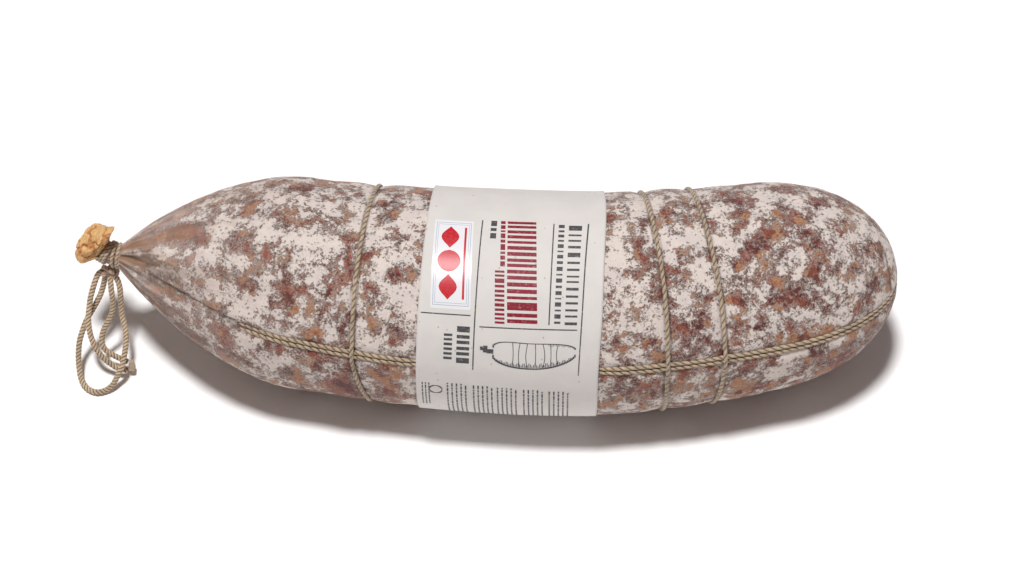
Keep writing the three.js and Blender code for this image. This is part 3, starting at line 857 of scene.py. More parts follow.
def relief(x, angle, place):
    """How far the ripened casing stands off the plain skin, how much painted shade its creases get,
    and how bare.

    It is the sum of slow lumps, finer grain, lengthwise wrinkles, pleats that fan out from the
    neck, a channel under each ring, the groove of the lengthwise pair, the end's own fold, and a
    fuller shoulder on top.
    """
    s = sizes()
    label_start, label_end = label_edges()
    signed_angle = np.where(angle > np.pi, angle - 2 * np.pi, angle)
    label_end = label_end + label_slant(np.degrees(signed_angle)) * MM
    stretched = place * np.array([0.16, 1, 1])
    lumps = 0.55 * fractal(place, 24 * MM, 2, 3) + 0.28 * fractal(place, 7 * MM, 2, 5)
    wrinkle = fractal(stretched, 5 * MM, 3, 8)
    low = smooth(0.3, -0.5, np.sin(angle)) * 0.9 + 0.18
    tip_share = smooth(s.body_length - 60 * MM, s.body_length - 8 * MM, x)
    folds = -np.exp(-((wrinkle / 0.16) ** 2)) * (0.34 * low + 0.2 * tip_share)

    # Pleats at the neck: rounded ridges and sharp valleys, fewer and deeper further in
    to_neck = fade(x, 34)
    wander = 0.5 * noise(np.stack([x * 1.0, 0 * x, 0 * x], -1), 22 * MM, 4) * np.pi
    pleats = np.zeros_like(x)
    for count, height, turn in ((9, 0.9, 0.4), (15, 0.6, 2.1), (26, 0.42, 5.0)):
        phase = count * angle + turn + wander * (1 + count / 20)
        pleats += height * (np.abs(np.sin(phase / 2)) ** 0.7 - 0.68)
    pleat_height = 1.5 * to_neck * smooth(-1 * MM, 14 * MM, x)
    pleat_height += 0.2 * smooth(-9 * MM, 0, x) * (x < 14 * MM)
    height = lumps * smooth(0, 40 * MM, x) + folds * smooth(4 * MM, 40 * MM, x)
    height += pleats * pleat_height
    # Painted shade in the valleys of the pleats and the wrinkles, more of it low down and at the tip
    crease_shade = np.clip(-pleats, 0, 1) * to_neck * 1.1 + np.exp(-((wrinkle / 0.1) ** 2)) * (
        0.3 * low + 0.3 * tip_share
    )

    # The twine
    height_by_twine = np.zeros_like(x)
    near_twine = np.zeros_like(x)
    for share in RING_STEPS:
        away = np.abs(x - ring_station(share, signed_angle))
        height_by_twine -= 0.75 * hill(away, 3.6)
        height_by_twine += 0.25 * hill(away - 11 * MM, 6)
        near_twine = np.maximum(near_twine, hill(away, 3.2))
        # A line of painted shade beside each ring
        crease_shade += 0.75 * hill(away - 1.2 * MM, 0.6)
    pair = pair_distance(x, angle)
    deep = 1 + 1.3 * fade(x, 40)
    # Towards the neck the casing closes over the pair and leaves one line of painted shade above it
    covered = smooth(84 * MM, 48 * MM, x)
    line = np.abs((signed_angle - front_crossing(x)) * skin_radius(x) - 1.7 * MM)
    line = np.minimum(line, np.abs(wrapped(angle - BACK_ANGLE) * skin_radius(x) - 1.7 * MM))
    drawn = covered * smooth(6 * MM, 34 * MM, x)
    height_by_twine -= (1 - covered) * 1.0 * deep * hill(pair, 3.3)
    height_by_twine += 0.3 * hill(pair - 6.5 * MM, 2.6)
    height_by_twine += covered * 0.35 * hill(pair, 2.4)
    height_by_twine -= drawn * 1.1 * hill(line, 0.75)
    near_twine = np.maximum(near_twine, (1 - covered) * hill(pair, 3.6))
    # Painted shade along the pair's groove
    crease_shade += (1 - covered) * 0.95 * hill(np.maximum(pair - 1.5 * MM, 0), 1.2)
    crease_shade += drawn * 0.9 * hill(line, 0.6)
    height = height * (1 - 0.75 * near_twine) + height_by_twine

    # The end's fold: a ring of casing that laps the tip, with painted shade in the crease before it
    tip = (place - shift() - spine(np.array(s.body_length))) / MM
    past = tip[..., 0] + 0.142 * tip[..., 1] + 0.119 * tip[..., 2] + 1.6 * noise(place, 14 * MM, 21)
    lap = past + 4.2
    on_dome = smooth(s.body_length - 40 * MM, s.body_length - 25 * MM, x)
    part = on_dome * smooth(-0.5, 0.35, noise(place, 16 * MM, 23) + 0.3 * np.sin(angle))
    height += part * (0.75 * smooth(0, 1.6, lap) - 0.8 * np.exp(-((lap / 0.9) ** 2)))
    crease_shade += part * 0.7 * np.exp(-((lap / 0.7) ** 2))
    bare = part * np.exp(-(((lap + 2.0) / 2.0) ** 2)) * smooth(-0.2, 0.5, noise(place, 5 * MM, 24))

    # Bare tan stripes fan out from the neck, most of them on top
    stripe = fractal(fanned(x, angle, 9, 13), 3.4 * MM, 2, 31)
    bare += smooth(0.1, 0.6, stripe + 0.4 * np.sin(angle) - 0.1) * fade(x, 34)

    # Under the label the casing is pressed flat
    under_label = smooth(label_start - 1.5 * MM, label_start, x) * smooth(
        label_end + 1.5 * MM, label_end, x
    )
    height = np.where(under_label > 0, np.minimum(height, 0.8 * (1 - under_label)), height)
    shoulder = hill(x - 78 * MM, 26) * smooth(0.1, 0.9, np.sin(angle))
    height = height * (1 - smooth(s.body_length - 4 * MM, s.body_length, x)) + 2.4 * shoulder
    return height * MM, np.clip(crease_shade, 0, 1), np.clip(bare, 0, 1)


def body_grid():
    """Stations and angles of the body's grid: even along it, and crowded at the tip."""
    s = sizes()
    dome_station = s.body_length - s.dome_length
    neck = np.linspace(-s.neck_length, 0, 14)[:-1]
    barrel = np.linspace(0, dome_station, 292)
    turn = np.linspace(0, math.pi / 2, 86)[1:-1]
    stations = np.concatenate([neck, barrel, dome_station + s.dome_length * np.sin(turn)])
    angles = np.linspace(0, 2 * np.pi, 250, endpoint=False)
    return np.meshgrid(stations, angles, indexing="ij")


class SAUSAGE_OT_body(bpy.types.Operator):
    """Make the sausage in its casing, from the neck to the round end"""

    bl_idname = "sausage.body"
    bl_label = "Body"

    def execute(self, context):
        s = sizes()
        x, angle = body_grid()
        plain = on_skin(x, angle)
        height, crease_shade, bare = relief(x, angle, plain)
        label_start, label_end = label_edges()
        under = (x > label_start) & (x < label_end)
        floor = np.where(under, s.paper_thickness + s.label_gap, 0.0)
        places = on_skin(x, angle, height, floor)
        # Ahead of the body the rings follow the neck's own line
        on_body = x[:, 0] >= 0
        middle, tangent = on_neck(-x[~on_body, 0])
        front = unit(np.cross(-tangent, [0, 0, 1]))
        up = np.cross(front, -tangent)
        squeeze = 1 - 0.12 * smooth(0, 3 * MM, -x[~on_body])
        radius = s.neck_radius * squeeze + height[~on_body]
        places[~on_body] = middle[:, None] + radius[..., None] * (
            np.cos(angle[~on_body])[..., None] * front[:, None]
            + np.sin(angle[~on_body])[..., None] * up[:, None]
        )
        rows, columns = x.shape
        vertices, faces = closed_tube(places, reverse=True)
        tip = on_skin(np.array(s.body_length), np.array(0.0))
        vertices[rows * columns + 1] = tip
        body = piece_from("casing", vertices, faces, casing_material())
        streak = fractal(fanned(x, angle, 16, 15), 2.2 * MM, 3, 55, 0.7)
        streak += 0.35 * fractal(places, 5 * MM, 2, 57)
        values = {
            "crease_shade": crease_shade, "bare": bare, "bloom": self.bloom(x, angle, places), "streak": streak,
            "pleated": np.exp(-((np.maximum(x, 0) / (46 * MM)) ** 1.6)),
        }
        for name, value in values.items():
            set_values(body, name, value)
        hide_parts("salami")
        return {"FINISHED"}

    def bloom(self, x, angle, places):
        """How much more or less mould grows: a sum of shares, thickest on top and at the neck."""
        s = sizes()
        tip = smooth(s.body_length - 110 * MM, s.body_length - 10 * MM, x)
        neck = fade(x, 45)
        low = smooth(0.1, -0.9, np.sin(angle)) * smooth(math.pi, 0, wrapped(angle))
        slow = noise(places, 38 * MM, 17)
        top = smooth(0.2, 1.0, np.sin(angle))
        far = smooth(0.45, 0.65, x / s.body_length)
        more = 0.03 * neck + 0.02 * low + 0.04 * top + 0.04 * slow
        return more - 0.015 - 0.002 * far - 0.005 * tip


class SAUSAGE_OT_tuft(bpy.types.Operator):
    """Make the dry, crumpled casing beyond the tie"""

    bl_idname = "sausage.tuft"
    bl_label = "Casing tuft"

    def execute(self, context):
        """A ball squashed to the tuft's size, less its creases, where slow noise crosses zero."""
        s = sizes()
        rows, columns = 150, 190
        turn = np.linspace(0, np.pi, rows + 2)[1:-1]
        around = np.linspace(0, 2 * np.pi, columns, endpoint=False)
        turn, around = np.meshgrid(turn, around, indexing="ij")
        ball = np.stack(
            [np.sin(turn) * np.cos(around), np.sin(turn) * np.sin(around), -np.cos(turn)], -1
        )
        wide = s.tuft_radius * (0.97 - 0.2 * smooth(0.1, -1, ball[..., 2]))
        lobe = 1 + 0.85 * np.maximum(ball[..., 1], 0) ** 2 * smooth(-0.9, 0.1, ball[..., 2])
        size = np.stack([wide * 0.98, wide * lobe, np.full_like(wide, s.tuft_height * 0.47)], -1)
        shape = ball * size
        back = np.maximum(ball[..., 1], 0) ** 1.5 * smooth(-0.9, 0.4, ball[..., 2])
        shape[..., 2] -= 6.5 * MM * back
        bulge = 1.0 * noise(shape, 9 * MM, 2) + 0.4 * noise(shape, 4.5 * MM, 6)
        slow, quick = fractal(shape, 9 * MM, 3, 12), fractal(shape, 3.4 * MM, 2, 15)
        fold = np.exp(-((slow / 0.1) ** 2)) + 0.35 * np.exp(-((quick / 0.14) ** 2))
        crumple = 0.5 * np.abs(noise(shape, 2.6 * MM, 25))
        crumple += 0.22 * np.abs(noise(shape, 1.1 * MM, 27))
        top = smooth(-1.0, 0.0, ball[..., 2])
        height = (bulge * 1.5 - 1.25 * fold + crumple) * MM * (0.35 + 0.65 * top)
        shape = shape + ball * height[..., None]
        # From the ball's own axes to the tuft's direction
        side = unit(np.cross([0, 0, 1.0], TUFT_DIRECTION))
        axes = np.stack([side, np.cross(TUFT_DIRECTION, side), TUFT_DIRECTION])
        base, _ = on_neck(np.array(s.neck_length))
        rings = shape @ axes + base + TUFT_DIRECTION * (s.tuft_height * 0.5 - 2.4 * MM)
        vertices, faces = closed_tube(rings)
        tuft = piece_from("casing_tuft", vertices, faces, tuft_material())
        # The creases' share, which the tuft's material paints as shade
        set_values(tuft, "fold", np.clip(fold, 0, 1), 0.5)
        return {"FINISHED"}


# The twine


def pair_path(side_step, step):
    """A lengthwise strand's middle line, along the front, over the round end and back behind.

    Over the end it is a straight line seen end on, eased at both ends as a half cosine wave.
    """
    s = sizes()
    dome_station = s.body_length - s.dome_length
    label_start, label_end = label_edges()
    front_x = np.linspace(3.4 * MM, dome_station, round((dome_station - 3.4 * MM) / step))
    edge = barrel_radius(dome_station)
    turn = np.linspace(0, np.pi, round(np.pi * edge * 1.15 / step))[1:-1]
    share = (1 - np.cos(turn)) / 2
    a, b = FRONT_ANGLE, BACK_ANGLE
    across = edge * ((1 - share) * math.cos(a) + share * math.cos(b))
    up = edge * ((1 - share) * math.sin(a) + share * math.sin(b))
    reach = np.minimum(np.hypot(across, up) / edge, 1)
    into = dome_share(reach)
    dome_x = dome_station + s.dome_length * into
    x = np.concatenate([front_x, dome_x, front_x[::-1]])
    back = np.full_like(front_x, BACK_ANGLE)
    angle = np.concatenate([front_crossing(front_x), np.arctan2(up, across), back])
    angle = np.unwrap(angle)
    place = on_skin(x, angle, floor=-1.0)
    middle = spine(x) + shift()
    outward = place - middle
    power = s.dome_power
    depth_in = np.clip((x - dome_station) / s.dome_length, 0, 1)[:, None]
    reach = np.linalg.norm(outward, axis=1, keepdims=True) / edge
    along = section_axes(x)[1]
    dome_normal = unit(outward) * reach ** (power - 1) / edge
    dome_normal = unit(dome_normal + along * depth_in ** (power - 1) / s.dome_length)
    normal = np.where((x > dome_station)[:, None], dome_normal, unit(outward))
    outside = np.maximum(np.maximum(label_start - x, x - label_end), 0)
    depth = 1.2 + (0.5 - 1.2) * smooth(0, 6 * MM, outside) + 1.9 * smooth(84 * MM, 46 * MM, x)
    depth = depth + 0.55 * smooth(dome_station - 10 * MM, dome_station + 35 * MM, x)
    tangent = unit(np.gradient(place, axis=0))
    sideways = unit(np.cross(normal, tangent))
    return place - normal * (depth * MM)[:, None] + sideways * side_step, normal, x


class SAUSAGE_OT_twine(bpy.types.Operator):
    """Make the three rings, the two lengthwise strands and the winding round the neck"""

    bl_idname = "sausage.twine"
    bl_label = "Twine"

    def execute(self, context):
        s, c = sizes(), colours()
        material = strand_material("butchers_twine", tuple(c.twine), tuple(c.twine_groove_shade), dust=True)
        for number, share in enumerate(RING_STEPS, 1):
            self.ring(number, share, material)
        for name, side in (("upper", 1), ("lower", -1)):
            path, normal, x = pair_path(side * (s.twine_radius + 0.12 * MM), 0.55 * MM)
            strand = laid_piece(
                f"lengthwise_strand_{name}", path, s.twine_radius, material, 2, 7.4 * MM, normal,
                sides=STRAND_SIDES, groove=0.3,
            )
            dusty = 0.75 * fade(x - 50 * MM, 40)
            dusty += 0.45 * smooth(s.body_length - 90 * MM, s.body_length - 20 * MM, x)
            set_values(strand, "dust", np.repeat(dusty, STRAND_SIDES), 0.6)
            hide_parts(f"long_twine_{name}")
        self.winding(material)
        return {"FINISHED"}

    def ring(self, number, share, material):
        """A closed loop at the ring's station, lifted over the pair at its two crossings."""
        s = sizes()
        angle = np.linspace(-np.pi, np.pi, 640, endpoint=False)
        station = ring_station(share, angle)
        away = np.minimum(
            wrapped(angle - front_crossing(station)), wrapped(angle - BACK_ANGLE)
        ) * skin_radius(station)
        over = 1 - smooth(2.6 * MM, 8.5 * MM, away)
        lift = (-0.25 + 1.75 * over) * MM
        path = on_skin(station, angle, lift, floor=s.twine_radius)
        normal = unit(path - spine(station) - shift())
        ring = laid_piece(
            f"ring_twine_loop_{number}", path, s.twine_radius * 0.93, material, 2, 7.0 * MM, normal,
            sides=STRAND_SIDES, groove=0.22, closed=True,
        )
        set_values(ring, "dust", rest=0.12)
        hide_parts(f"ring_twine_{number}")

    def winding(self, material):
        """One helix about the neck: two level turns by the body, then three slanted ones."""
        s = sizes()
        turns = 5
        t = np.linspace(0, turns, 420)
        base = np.interp(t, [0, 1.85, 2.45, turns], [-0.9, 2.2, 4.6, 8.3]) * MM
        angle = 2 * np.pi * t
        slant = (0.3 + 0.9 * smooth(1.8, 2.6, t)) * MM * np.cos(angle)
        middle, tangent = on_neck(base + slant)
        side = unit(np.cross([0, 0, 1.0], tangent))
        up = np.cross(tangent, side)
        radius = 0.92 * s.binding_radius
        reach = (s.neck_radius * 0.88 + radius * 0.85 + 1.1 * np.maximum(-base, 0))[:, None]
        out = np.cos(angle)[:, None] * side + np.sin(angle)[:, None] * up
        strand = laid_piece(
            "neck_winding", middle + reach * out, radius, material, 2, 4.4 * MM, out,
            sides=14, groove=0.3,
        )
        set_values(strand, "dust", rest=0.42)
        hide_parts("neck_binding")


def hairs(roots, directions, length_mm, seed, bend=0.8):
    """Fine loose fibres: three-sided tapered tubes that start at roots and curl to one side."""
    count, steps = len(roots), 5
    random = np.random.default_rng(seed)
    long = length_mm * MM * (0.45 + 0.55 * random.random((count, 1, 1)))
    curl = unit(random.normal(size=(count, 3)))
    t = np.linspace(0, 1, steps)[None, :, None]
    line = roots[:, None] + long * (t * directions[:, None] + bend * 0.5 * t**2 * curl[:, None])
    side = unit(np.cross(directions, curl))[:, None, None]
    other = np.cross(directions[:, None, None], side)
    turn = (np.arange(3) * 2 * np.pi / 3)[None, None, :, None]
    thick = (0.075 * MM * (1.05 - t))[:, :, None]
    rings = line[:, :, None] + thick * (np.cos(turn) * side + np.sin(turn) * other)
    quads = grid_faces(steps, 3)
    cap = np.array([[2, 1, 0, 0], [(steps - 1) * 3 + i for i in (0, 1, 2, 2)]])
    starts = (np.arange(count) * steps * 3)[:, None, None]
    faces = (quads[None] + starts).reshape(-1, 4).tolist()
    faces += [face[:3] for face in (cap[:1] + starts).reshape(-1, 4).tolist()]
    faces += [face[:3] for face in (cap[1:] + starts).reshape(-1, 4).tolist()]
    return rings.reshape(-1, 3), faces


class SAUSAGE_OT_knot(bpy.types.Operator):
    """Make the knot under the neck and the pressed, frayed end of the two tails"""

    bl_idname = "sausage.knot"
    bl_label = "Knot and frayed end"

    def execute(self, context):
        c = colours()
        material = strand_material("knotted_jute", tuple(c.cord), tuple(c.cord_groove_shade), dust=True)
        self.knot(material)
        self.frayed_end(material)
        return {"FINISHED"}

    def knot(self, material):
        """A strand along a (2, 3) knot on a squashed ring, with loose fibres all over it."""
        low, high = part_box("hanging_knot")
        centre, half = np.array((low + high) / 2), np.array((high - low) / 2)
        t = np.linspace(0, 2 * np.pi, 260, endpoint=False)
        ring = 0.62 + 0.3 * np.cos(3 * t)
        path = np.stack([ring * np.cos(2 * t), 0.72 * np.sin(3 * t), ring * np.sin(2 * t)], -1)
        path = centre + path * half * np.array([0.86, 0.8, 0.95])
        rings, depth = twisted_rings(
            path, 1.35 * MM, 3, 4.5 * MM, path - centre, sides=16, groove=0.24, closed=True
        )
        faces = grid_faces(rings.shape[0], rings.shape[1], wrap_rows=True).tolist()
        random = np.random.default_rng(5)
        pick = random.choice(rings.shape[0] * rings.shape[1], 230, replace=False)
        roots = rings.reshape(-1, 3)[pick]
        out = unit(roots - centre + 0.8 * MM * random.normal(size=roots.shape))
        fibre = hairs(roots, out, 2.6, 6)
        vertices, faces = joined([(rings, faces), fibre])
        knot = piece_from("cord_knot", vertices, faces, material)
        # The knot's groove depth, painted as shade
        set_values(knot, "groove", depth)
        set_values(knot, "dust", rest=0.6)
        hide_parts("hanging_knot")

    def frayed_end(self, material):
        """A pressed wedge, ribbed along its length, with fibres out of its cut edge."""
        low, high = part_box("cord_end")
        centre, half = np.array((low + high) / 2), np.array((high - low) / 2)
        rows, columns = 44, 60
        t = np.linspace(0, 1, rows)[:, None]
        angle = np.linspace(0, 2 * np.pi, columns, endpoint=False)[None]
        wide = (0.62 + 0.38 * t) * np.sqrt(np.clip(1 - (2 * t - 1) ** 8, 0.02, 1))
        square = np.maximum(np.abs(np.cos(angle)), np.abs(np.sin(angle))) ** -0.7
        ribs = 1 - 0.1 * np.abs(np.sin(9 * angle))
        across = wide * square * ribs
        y = 0.86 * across * np.cos(angle) * (0.72 + 0.28 * t)
        z = 0.9 * (2 * t - 1) * np.ones_like(angle) + 0.1 * np.cos(angle)
        x = 1.25 * across * np.sin(angle) + 0.2 * (t - 0.5) - 0.3
        rings = centre + np.stack([x, y, -z], -1) * half
        vertices, faces = closed_tube(rings)
        # Painted shade between the end's ribs
        groove = np.repeat(np.abs(np.sin(9 * angle)) ** 3 * 0.5, rows, axis=0)
        random = np.random.default_rng(9)
        pick = random.integers((rows - 6) * columns, rows * columns, 90)
        roots = rings.reshape(-1, 3)[pick]
        aim = unit(np.array([0.25, 0, -0.6]) + 0.45 * random.normal(size=roots.shape))
        low_down = roots[:, 2] < centre[2] - 0.5 * half[2]
        aim[:, 2] = np.where(low_down, np.abs(aim[:, 2]) * 0.2, aim[:, 2])
        fibre = hairs(roots, aim, 1.8, 10)
        vertices, faces = joined([(vertices, faces), fibre])
        end = piece_from("cord_frayed_end", vertices, faces, material)
        set_values(end, "groove", groove)
        set_values(end, "dust", rest=0.2)
        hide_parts("cord_end")


# The label


# How far these printed shapes lean, in millimetres a degree
PANEL_LEAN = -0.03
TITLE_LEAN = -0.042


def label_station(x_mm, degrees):
    """The station at millimetres from the band's left edge, stretched to the slanted right edge."""
    signed = (degrees + 180) % 360 - 180
    near_edge = smooth(68, sizes().label_width / MM, x_mm)
    return label_edges()[0] + (x_mm + near_edge * label_slant(signed)) * MM


def on_label(x_mm, degrees, lift_mm=0.0):
    """A point on the band's outside, at millimetres from its left edge and degrees from the front.

    The band flares a little where its edges stand off, and laps itself behind.
    """
    s = sizes()
    x = label_station(x_mm, degrees)
    angle = np.radians(degrees)
    to_left, to_right = x_mm, s.label_width / MM - x_mm
    upper = smooth(20, 80, degrees) * smooth(190, 130, degrees)
    flare = 0.45 * upper * np.exp(-to_left / 5) + 0.25 * upper * np.exp(-to_right / 4)
    slow = np.stack([x_mm * MM + 0 * angle, np.cos(angle) * 0.05, np.sin(angle) * 0.05], -1)
    wave = 0.12 * noise(slow, 26 * MM, 41)
    over_twine = 0.16 * np.exp(-(((degrees - 13) / 4.0) ** 2))
    lap = 0.3 * smooth(196.2, 195.8, degrees) * smooth(171.8, 172.2, degrees)
    lift = (flare + wave + over_twine + lap + lift_mm) * MM
    return on_skin(x, angle, s.label_gap + s.paper_thickness + 0.13 * MM + lift, floor=0.0)


def ribbon(start, end, low, high, lift_mm=0.05, step=1.6, lean=0.0):
    """A thin closed slab on the label between two angles, from low to high millimetres across it.

    low and high are numbers, or functions of the share of the way from start to end. lean is how
    many millimetres it moves to the right for each degree over 65.
    """
    count = max(2, math.ceil(abs(end - start) / step) + 1)
    share = np.linspace(0, 1, count)
    degrees = start + (end - start) * share
    slant = lean * (degrees - 65)
    left = (low(share) if callable(low) else np.full(count, float(low))) + slant
    right = (high(share) if callable(high) else np.full(count, float(high))) + slant
    columns = max(2, math.ceil(float((right - left).max()) / 6) + 1)
    across = left[:, None] + (right - left)[:, None] * np.linspace(0, 1, columns)[None]
    degrees = np.repeat(degrees[:, None], columns, axis=1)
    top = on_label(across, degrees, lift_mm)
    bottom = on_label(across, degrees, -0.03)
    size = count * columns
    upper = grid_faces(count, columns, wrap_columns=False)
    rim = np.concatenate([
        np.arange(columns), np.arange(1, count) * columns + columns - 1,
        (count - 1) * columns + np.arange(columns - 2, -1, -1),
        np.arange(count - 2, 0, -1) * columns,
    ])
    walls = np.stack([rim, rim + size, np.roll(rim, -1) + size, np.roll(rim, -1)], -1)
    faces = np.concatenate([upper[:, ::-1], upper + size, walls])
    if end < start:
        faces = faces[:, ::-1]
    return np.concatenate([top.reshape(-1, 3), bottom.reshape(-1, 3)]), faces.tolist()


def frame_lines(start, end, low, high, width):
    """Four thin ribbons round a rectangle."""
    rise = width / 0.95
    sides = (
        (start, end, low, low + width), (start, end, high - width, high),
        (start, start + rise, low, high), (end - rise, end, low, high),
    )
    return [ribbon(*side, lean=PANEL_LEAN) for side in sides]


def marks(start, end, low, high, widths, gap, split=0.0, lean=0.0):
    """A line of plain blocks of the given relative widths, in place of words.

    split opens a slot through the middle of each wide block, which keeps a line's tone light.
    """
    share = (end - start) / (sum(widths) + gap * (len(widths) - 1))
    blocks, at = [], start
    for wide in widths:
        stop = at + wide * share
        if split and wide > 0.8:
            bar = (stop - at) * (1 - split) / 2
            blocks.append(ribbon(at, at + bar, low, high, lean=lean))
            blocks.append(ribbon(stop - bar, stop, low, high, lean=lean))
        else:
            blocks.append(ribbon(at, stop, low, high, lean=lean))
        at = stop + gap * share
    return blocks


class SAUSAGE_OT_label(bpy.types.Operator):
    """Make the paper band and its plain printed blocks"""

    bl_idname = "sausage.label"
    bl_label = "Paper band"

    def execute(self, context):
        self.band()
        c = colours()
        gloss = ink_material("glossy_label_panel", linear("ECEBEE"), 0.28, 0.0)
        panel = [ribbon(45.0, 93.2, 4.9, 23.2, 0.07, lean=PANEL_LEAN)]
        self.add_print("label_panel", panel, gloss)
        border = ink_material("pale_border_ink", linear("AEBBCB"), 0.4, 0.2)
        lines = frame_lines(46.6, 91.8, 5.8, 22.3, 0.3) + frame_lines(47.8, 90.6, 6.7, 21.4, 0.22)
        self.add_print("label_border_print", self.raised(lines), border)
        self.add_print("label_emblem_print", self.emblem(), ink_material(
            "red_screen_ink", tuple(c.bright_ink), 0.35, 0.1))
        self.add_print("label_title_print", self.title(), ink_material(
            "dark_red_offset_ink", tuple(c.red_ink), 0.6, 0.3))
        self.add_print("label_dark_print", self.dark(), ink_material(
            "dark_grey_offset_ink", tuple(c.dark_ink), 0.65, 0.35))
        return {"FINISHED"}

    def band(self):
        """A closed band with a wall: the outside, the inside and the two edges."""
        s = sizes()
        wide = s.label_width / MM
        around = np.linspace(-180, 180, 400, endpoint=False) % 360
        x, degrees = np.meshgrid(np.linspace(0, wide, 72), around, indexing="ij")
        outside = on_label(x, degrees)
        station = label_station(x, degrees)
        inside = on_skin(station, np.radians(degrees), s.label_gap, floor=s.paper_thickness)
        # The inside follows the outside where an edge stands off
        flat = outside[..., 2] > s.paper_thickness + 2 * MM
        middle = spine(station) + shift()
        inward = unit(middle - outside) * s.paper_thickness
        inside = np.where(flat[..., None], outside + inward, inside)
        rings = np.concatenate([outside, inside[::-1]])
        rows, columns = rings.shape[:2]
        faces = grid_faces(rows, columns, wrap_rows=True)[:, ::-1].tolist()
        band = piece_from("paper_band", rings, faces, paper_material())
        band.data.polygons.foreach_set("use_smooth", np.ones(len(faces), bool))
        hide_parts("paper_label")

    def add_print(self, name, shapes, material):
        """Printed shapes as one piece."""
        vertices, faces = joined(shapes)
        printed = piece_from(name, vertices, faces, material, smooth_faces=False)

    def raised(self, shapes):
        """The same shapes a little further off the paper, so that they lie on the panel."""
        lifted = []
        for vertices, faces in shapes:
            middle = spine(np.array(sizes().label_centre)) + shift()
            out = vertices - middle
            out[:, 0] = 0
            lifted.append((vertices + unit(out) * 0.05 * MM, faces))
        return lifted

    def emblem(self):
        """A disc between two leaves, each a bulge of a sine's width, and a bar beside them."""
        def bulge(centre, half, power=1.0, side=1):
            return lambda t: centre + side * half * np.maximum(np.sin(np.pi * t), 0) ** power

        shapes = []
        lean = PANEL_LEAN
        for start, end in ((49.6, 62.4), (76.4, 89.2)):
            leaf = bulge(12.6, 4.2, 1.2, -1), bulge(12.6, 4.2, 1.2)
            shapes.append(ribbon(start, end, *leaf, lean=lean))
        disc = bulge(12.6, 5.4, 0.5, -1), bulge(12.6, 5.4, 0.5)
        shapes.append(ribbon(63.6, 75.2, *disc, step=0.6, lean=lean))
        shapes.append(ribbon(50, 88.8, 19.2, 20.2, lean=lean))
        return self.raised(shapes)

    def title(self):
        """Three rows of plain strokes, one tall and two low, in place of words."""
        big = [1, 0.8, 0.3, 1.1, 1, 0.9, 1.1, 0.3, 1, 0.9]
        shapes = marks(39.6, 94.3, 39.6, 53.2, big, 0.3, 0.24, TITLE_LEAN)
        middling = [1, 1.1, 0.5, 1.1, 1.2, 0.7, 1]
        shapes += marks(39.0, 65.6, 34.0, 38.4, middling, 0.3, 0.3, TITLE_LEAN)
        small = [1.2, 1, 0.6, 1.5, 0.8, 1.3, 0.5, 1.1, 0.9]
        return shapes + marks(67.8, 94.4, 36.4, 38.6, small, 0.4, lean=TITLE_LEAN)

    def dark(self):
        """Rules, and plain strokes in place of the dark words: start, end, low, high and so on."""
        rules = (
            (42.0, 42.6, 1.4, 24.0, 0.0), (12.8, 94.5, 25.9, 26.5, 0.008),
            (36.6, 37.2, 28.2, 72.2, 0.0), (39.2, 93.6, 59.6, 60.2, 0.018),
            (11.6, 94.0, 74.6, 75.2, 0.026),
        )
        row = [0.5, 1, 0.4, 1, 0.3, 0.9, 0.6, 1, 0.4, 1, 0.7, 0.9, 0.4, 1, 0.5, 0.8, 0.6, 1]
        wide = [0.35, 1.0, 1.1, 0.35, 0.9, 1.2, 0.6, 0.35, 1.1, 0.8]
        words = (
            (18.2, 32.4, 12.4, 16.2, [1, 1, 0.9], 0.3, 0.3),
            (16.4, 36.6, 18.2, 24.0, [0.7, 1.1, 1.1, 0.7], 0.35, 0.25),
            (83.0, 94.4, 30.6, 33.4, [1, 0.6, 1.1], 0.4),
            (40.0, 93.0, 62.2, 65.0, row, 0.7, 0.0, 0.02),
            (39.4, 92.6, 67.0, 72.6, wide, 0.6, 0.5, 0.022),
        )
        shapes = [ribbon(*rule[:4], lean=rule[4]) for rule in rules]
        for word in words:
            shapes += marks(*word)
        return shapes + self.drawing() + self.small_print()

    def drawing(self):
        """A plain tied link in outline, with hoops, and hatching that is longer below."""
        shapes = []
        t = np.linspace(0, 1, 56)
        half = 7.2 * np.sqrt(np.maximum(1 - np.abs(1.94 * t**0.8 - 0.96) ** 2.6, 0))
        x = 34.4 + 37.4 * t
        middle = 24.2 - 2.6 * np.sin(np.pi * t) + 1.0 * t
        lower, upper = middle - half, middle + half
        for a in range(55):
            for side, heavy in ((lower, 0.25), (upper, 0.0)):
                low_angle, high_angle = sorted((side[a], side[a + 1]))
                shapes.append(ribbon(
                    low_angle - 0.2, high_angle + 0.2 + heavy, x[a], x[a + 1] + 0.06, 0.05, 3))
        for k in range(13, 44, 5):
            def hoop(u, left=x[k], bend=0.9 * math.sin(k)):
                return left + bend * np.sin(3.1 * u)

            shapes.append(ribbon(lower[k], upper[k], hoop, lambda u, hoop=hoop: hoop(u) + 0.34))
        for k in range(3, 53):
            reach = (1.9 + 1.6 * math.sin(k * 2.3) ** 2) * math.sin(math.pi * k / 56) ** 0.5
            shapes.append(ribbon(lower[k], lower[k] + reach, x[k], x[k] + 0.36, step=3))
            if k > 36:
                shapes.append(ribbon(upper[k] - reach * 0.5, upper[k], x[k], x[k] + 0.25, step=3))
        tie = ((23.0, 25.4, 31.8, 34.9), (23.4, 27.2, 30.2, 32.2), (24.6, 26.6, 28.8, 31))
        return shapes + [ribbon(*piece) for piece in tie]

    def small_print(self):
        """Five blocks of thin dashes of seeded lengths, a plain ring and three short lines."""
        random = np.random.default_rng(3)
        shapes = []

        def dashes(top, bottom, left, width, gap):
            while top > bottom:
                stop = top - 0.8 - 2.6 * random.random()
                shapes.append(ribbon(stop, top, left, left + width, step=3))
                top = stop - gap

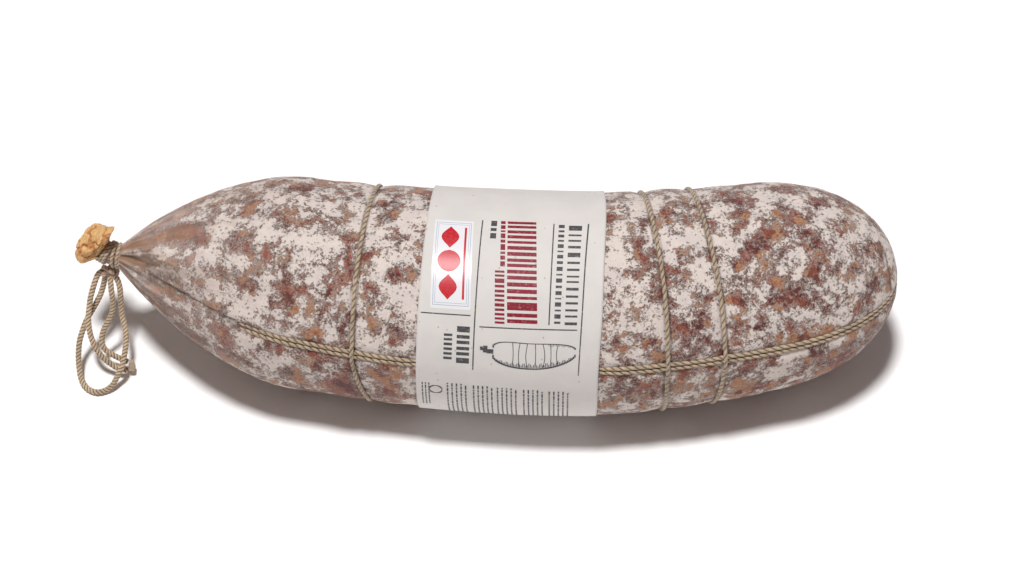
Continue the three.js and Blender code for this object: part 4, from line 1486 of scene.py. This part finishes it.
        tops = (2.4, 1.8, 1.2, 0.6, -0.2)
        for low, top in zip((14.0, 25.8, 36.6, 48.4, 59.8), tops):
            for line in range(5):
                dashes(top - 1.2 * (line == 4), -46, low + 2.05 * line, 0.72, 0.8)
        turn = np.linspace(0, 2 * np.pi, 25)
        for a, b in zip(turn[:-1], turn[1:]):
            y = sorted((-3.5 + 3.2 * math.sin(a), -3.5 + 3.2 * math.sin(b)))
            x = sorted((9.0 + 2.9 * math.cos(a), 9.0 + 2.9 * math.cos(b)))
            shapes.append(ribbon(y[0] - 0.2, y[1] + 0.2, x[0] - 0.12, x[1] + 0.12, step=3))
        for column in range(3):
            dashes(1.5, -20, 2.6 + 1.5 * column, 0.6, 0.7)
        return shapes


# The panel, and the order of making


OPERATORS = (
    SAUSAGE_OT_stage, SAUSAGE_OT_cords, SAUSAGE_OT_body, SAUSAGE_OT_tuft, SAUSAGE_OT_twine,
    SAUSAGE_OT_knot, SAUSAGE_OT_label,
)


class SAUSAGE_PT_panel(bpy.types.Panel):
    """The sausage's sizes, colours and makers"""

    bl_idname = "SAUSAGE_PT_panel"
    bl_label = "Cured sausage"
    bl_space_type = "VIEW_3D"
    bl_region_type = "UI"
    bl_category = "Sausage"

    def draw(self, context):
        for group in (context.scene.sausage_sizes, context.scene.sausage_colours):
            box = self.layout.box()
            for name in group.__annotations__:
                box.prop(group, name)
        for operator in OPERATORS:
            self.layout.operator(operator.bl_idname)


CLASSES = (SausageSizes, SausageColours, *OPERATORS, SAUSAGE_PT_panel)


def register():
    for made in CLASSES:
        bpy.utils.register_class(made)
    bpy.types.Scene.sausage_sizes = PointerProperty(type=SausageSizes)
    bpy.types.Scene.sausage_colours = PointerProperty(type=SausageColours)


def unregister():
    del bpy.types.Scene.sausage_colours
    del bpy.types.Scene.sausage_sizes
    for made in reversed(CLASSES):
        bpy.utils.unregister_class(made)


def main():
    register()
    bpy.ops.sausage.stage()
    bpy.ops.sausage.cords()
    bpy.ops.sausage.body()
    bpy.ops.sausage.tuft()
    bpy.ops.sausage.twine()
    bpy.ops.sausage.knot()
    bpy.ops.sausage.label()


if __name__ == "__main__":
    main()
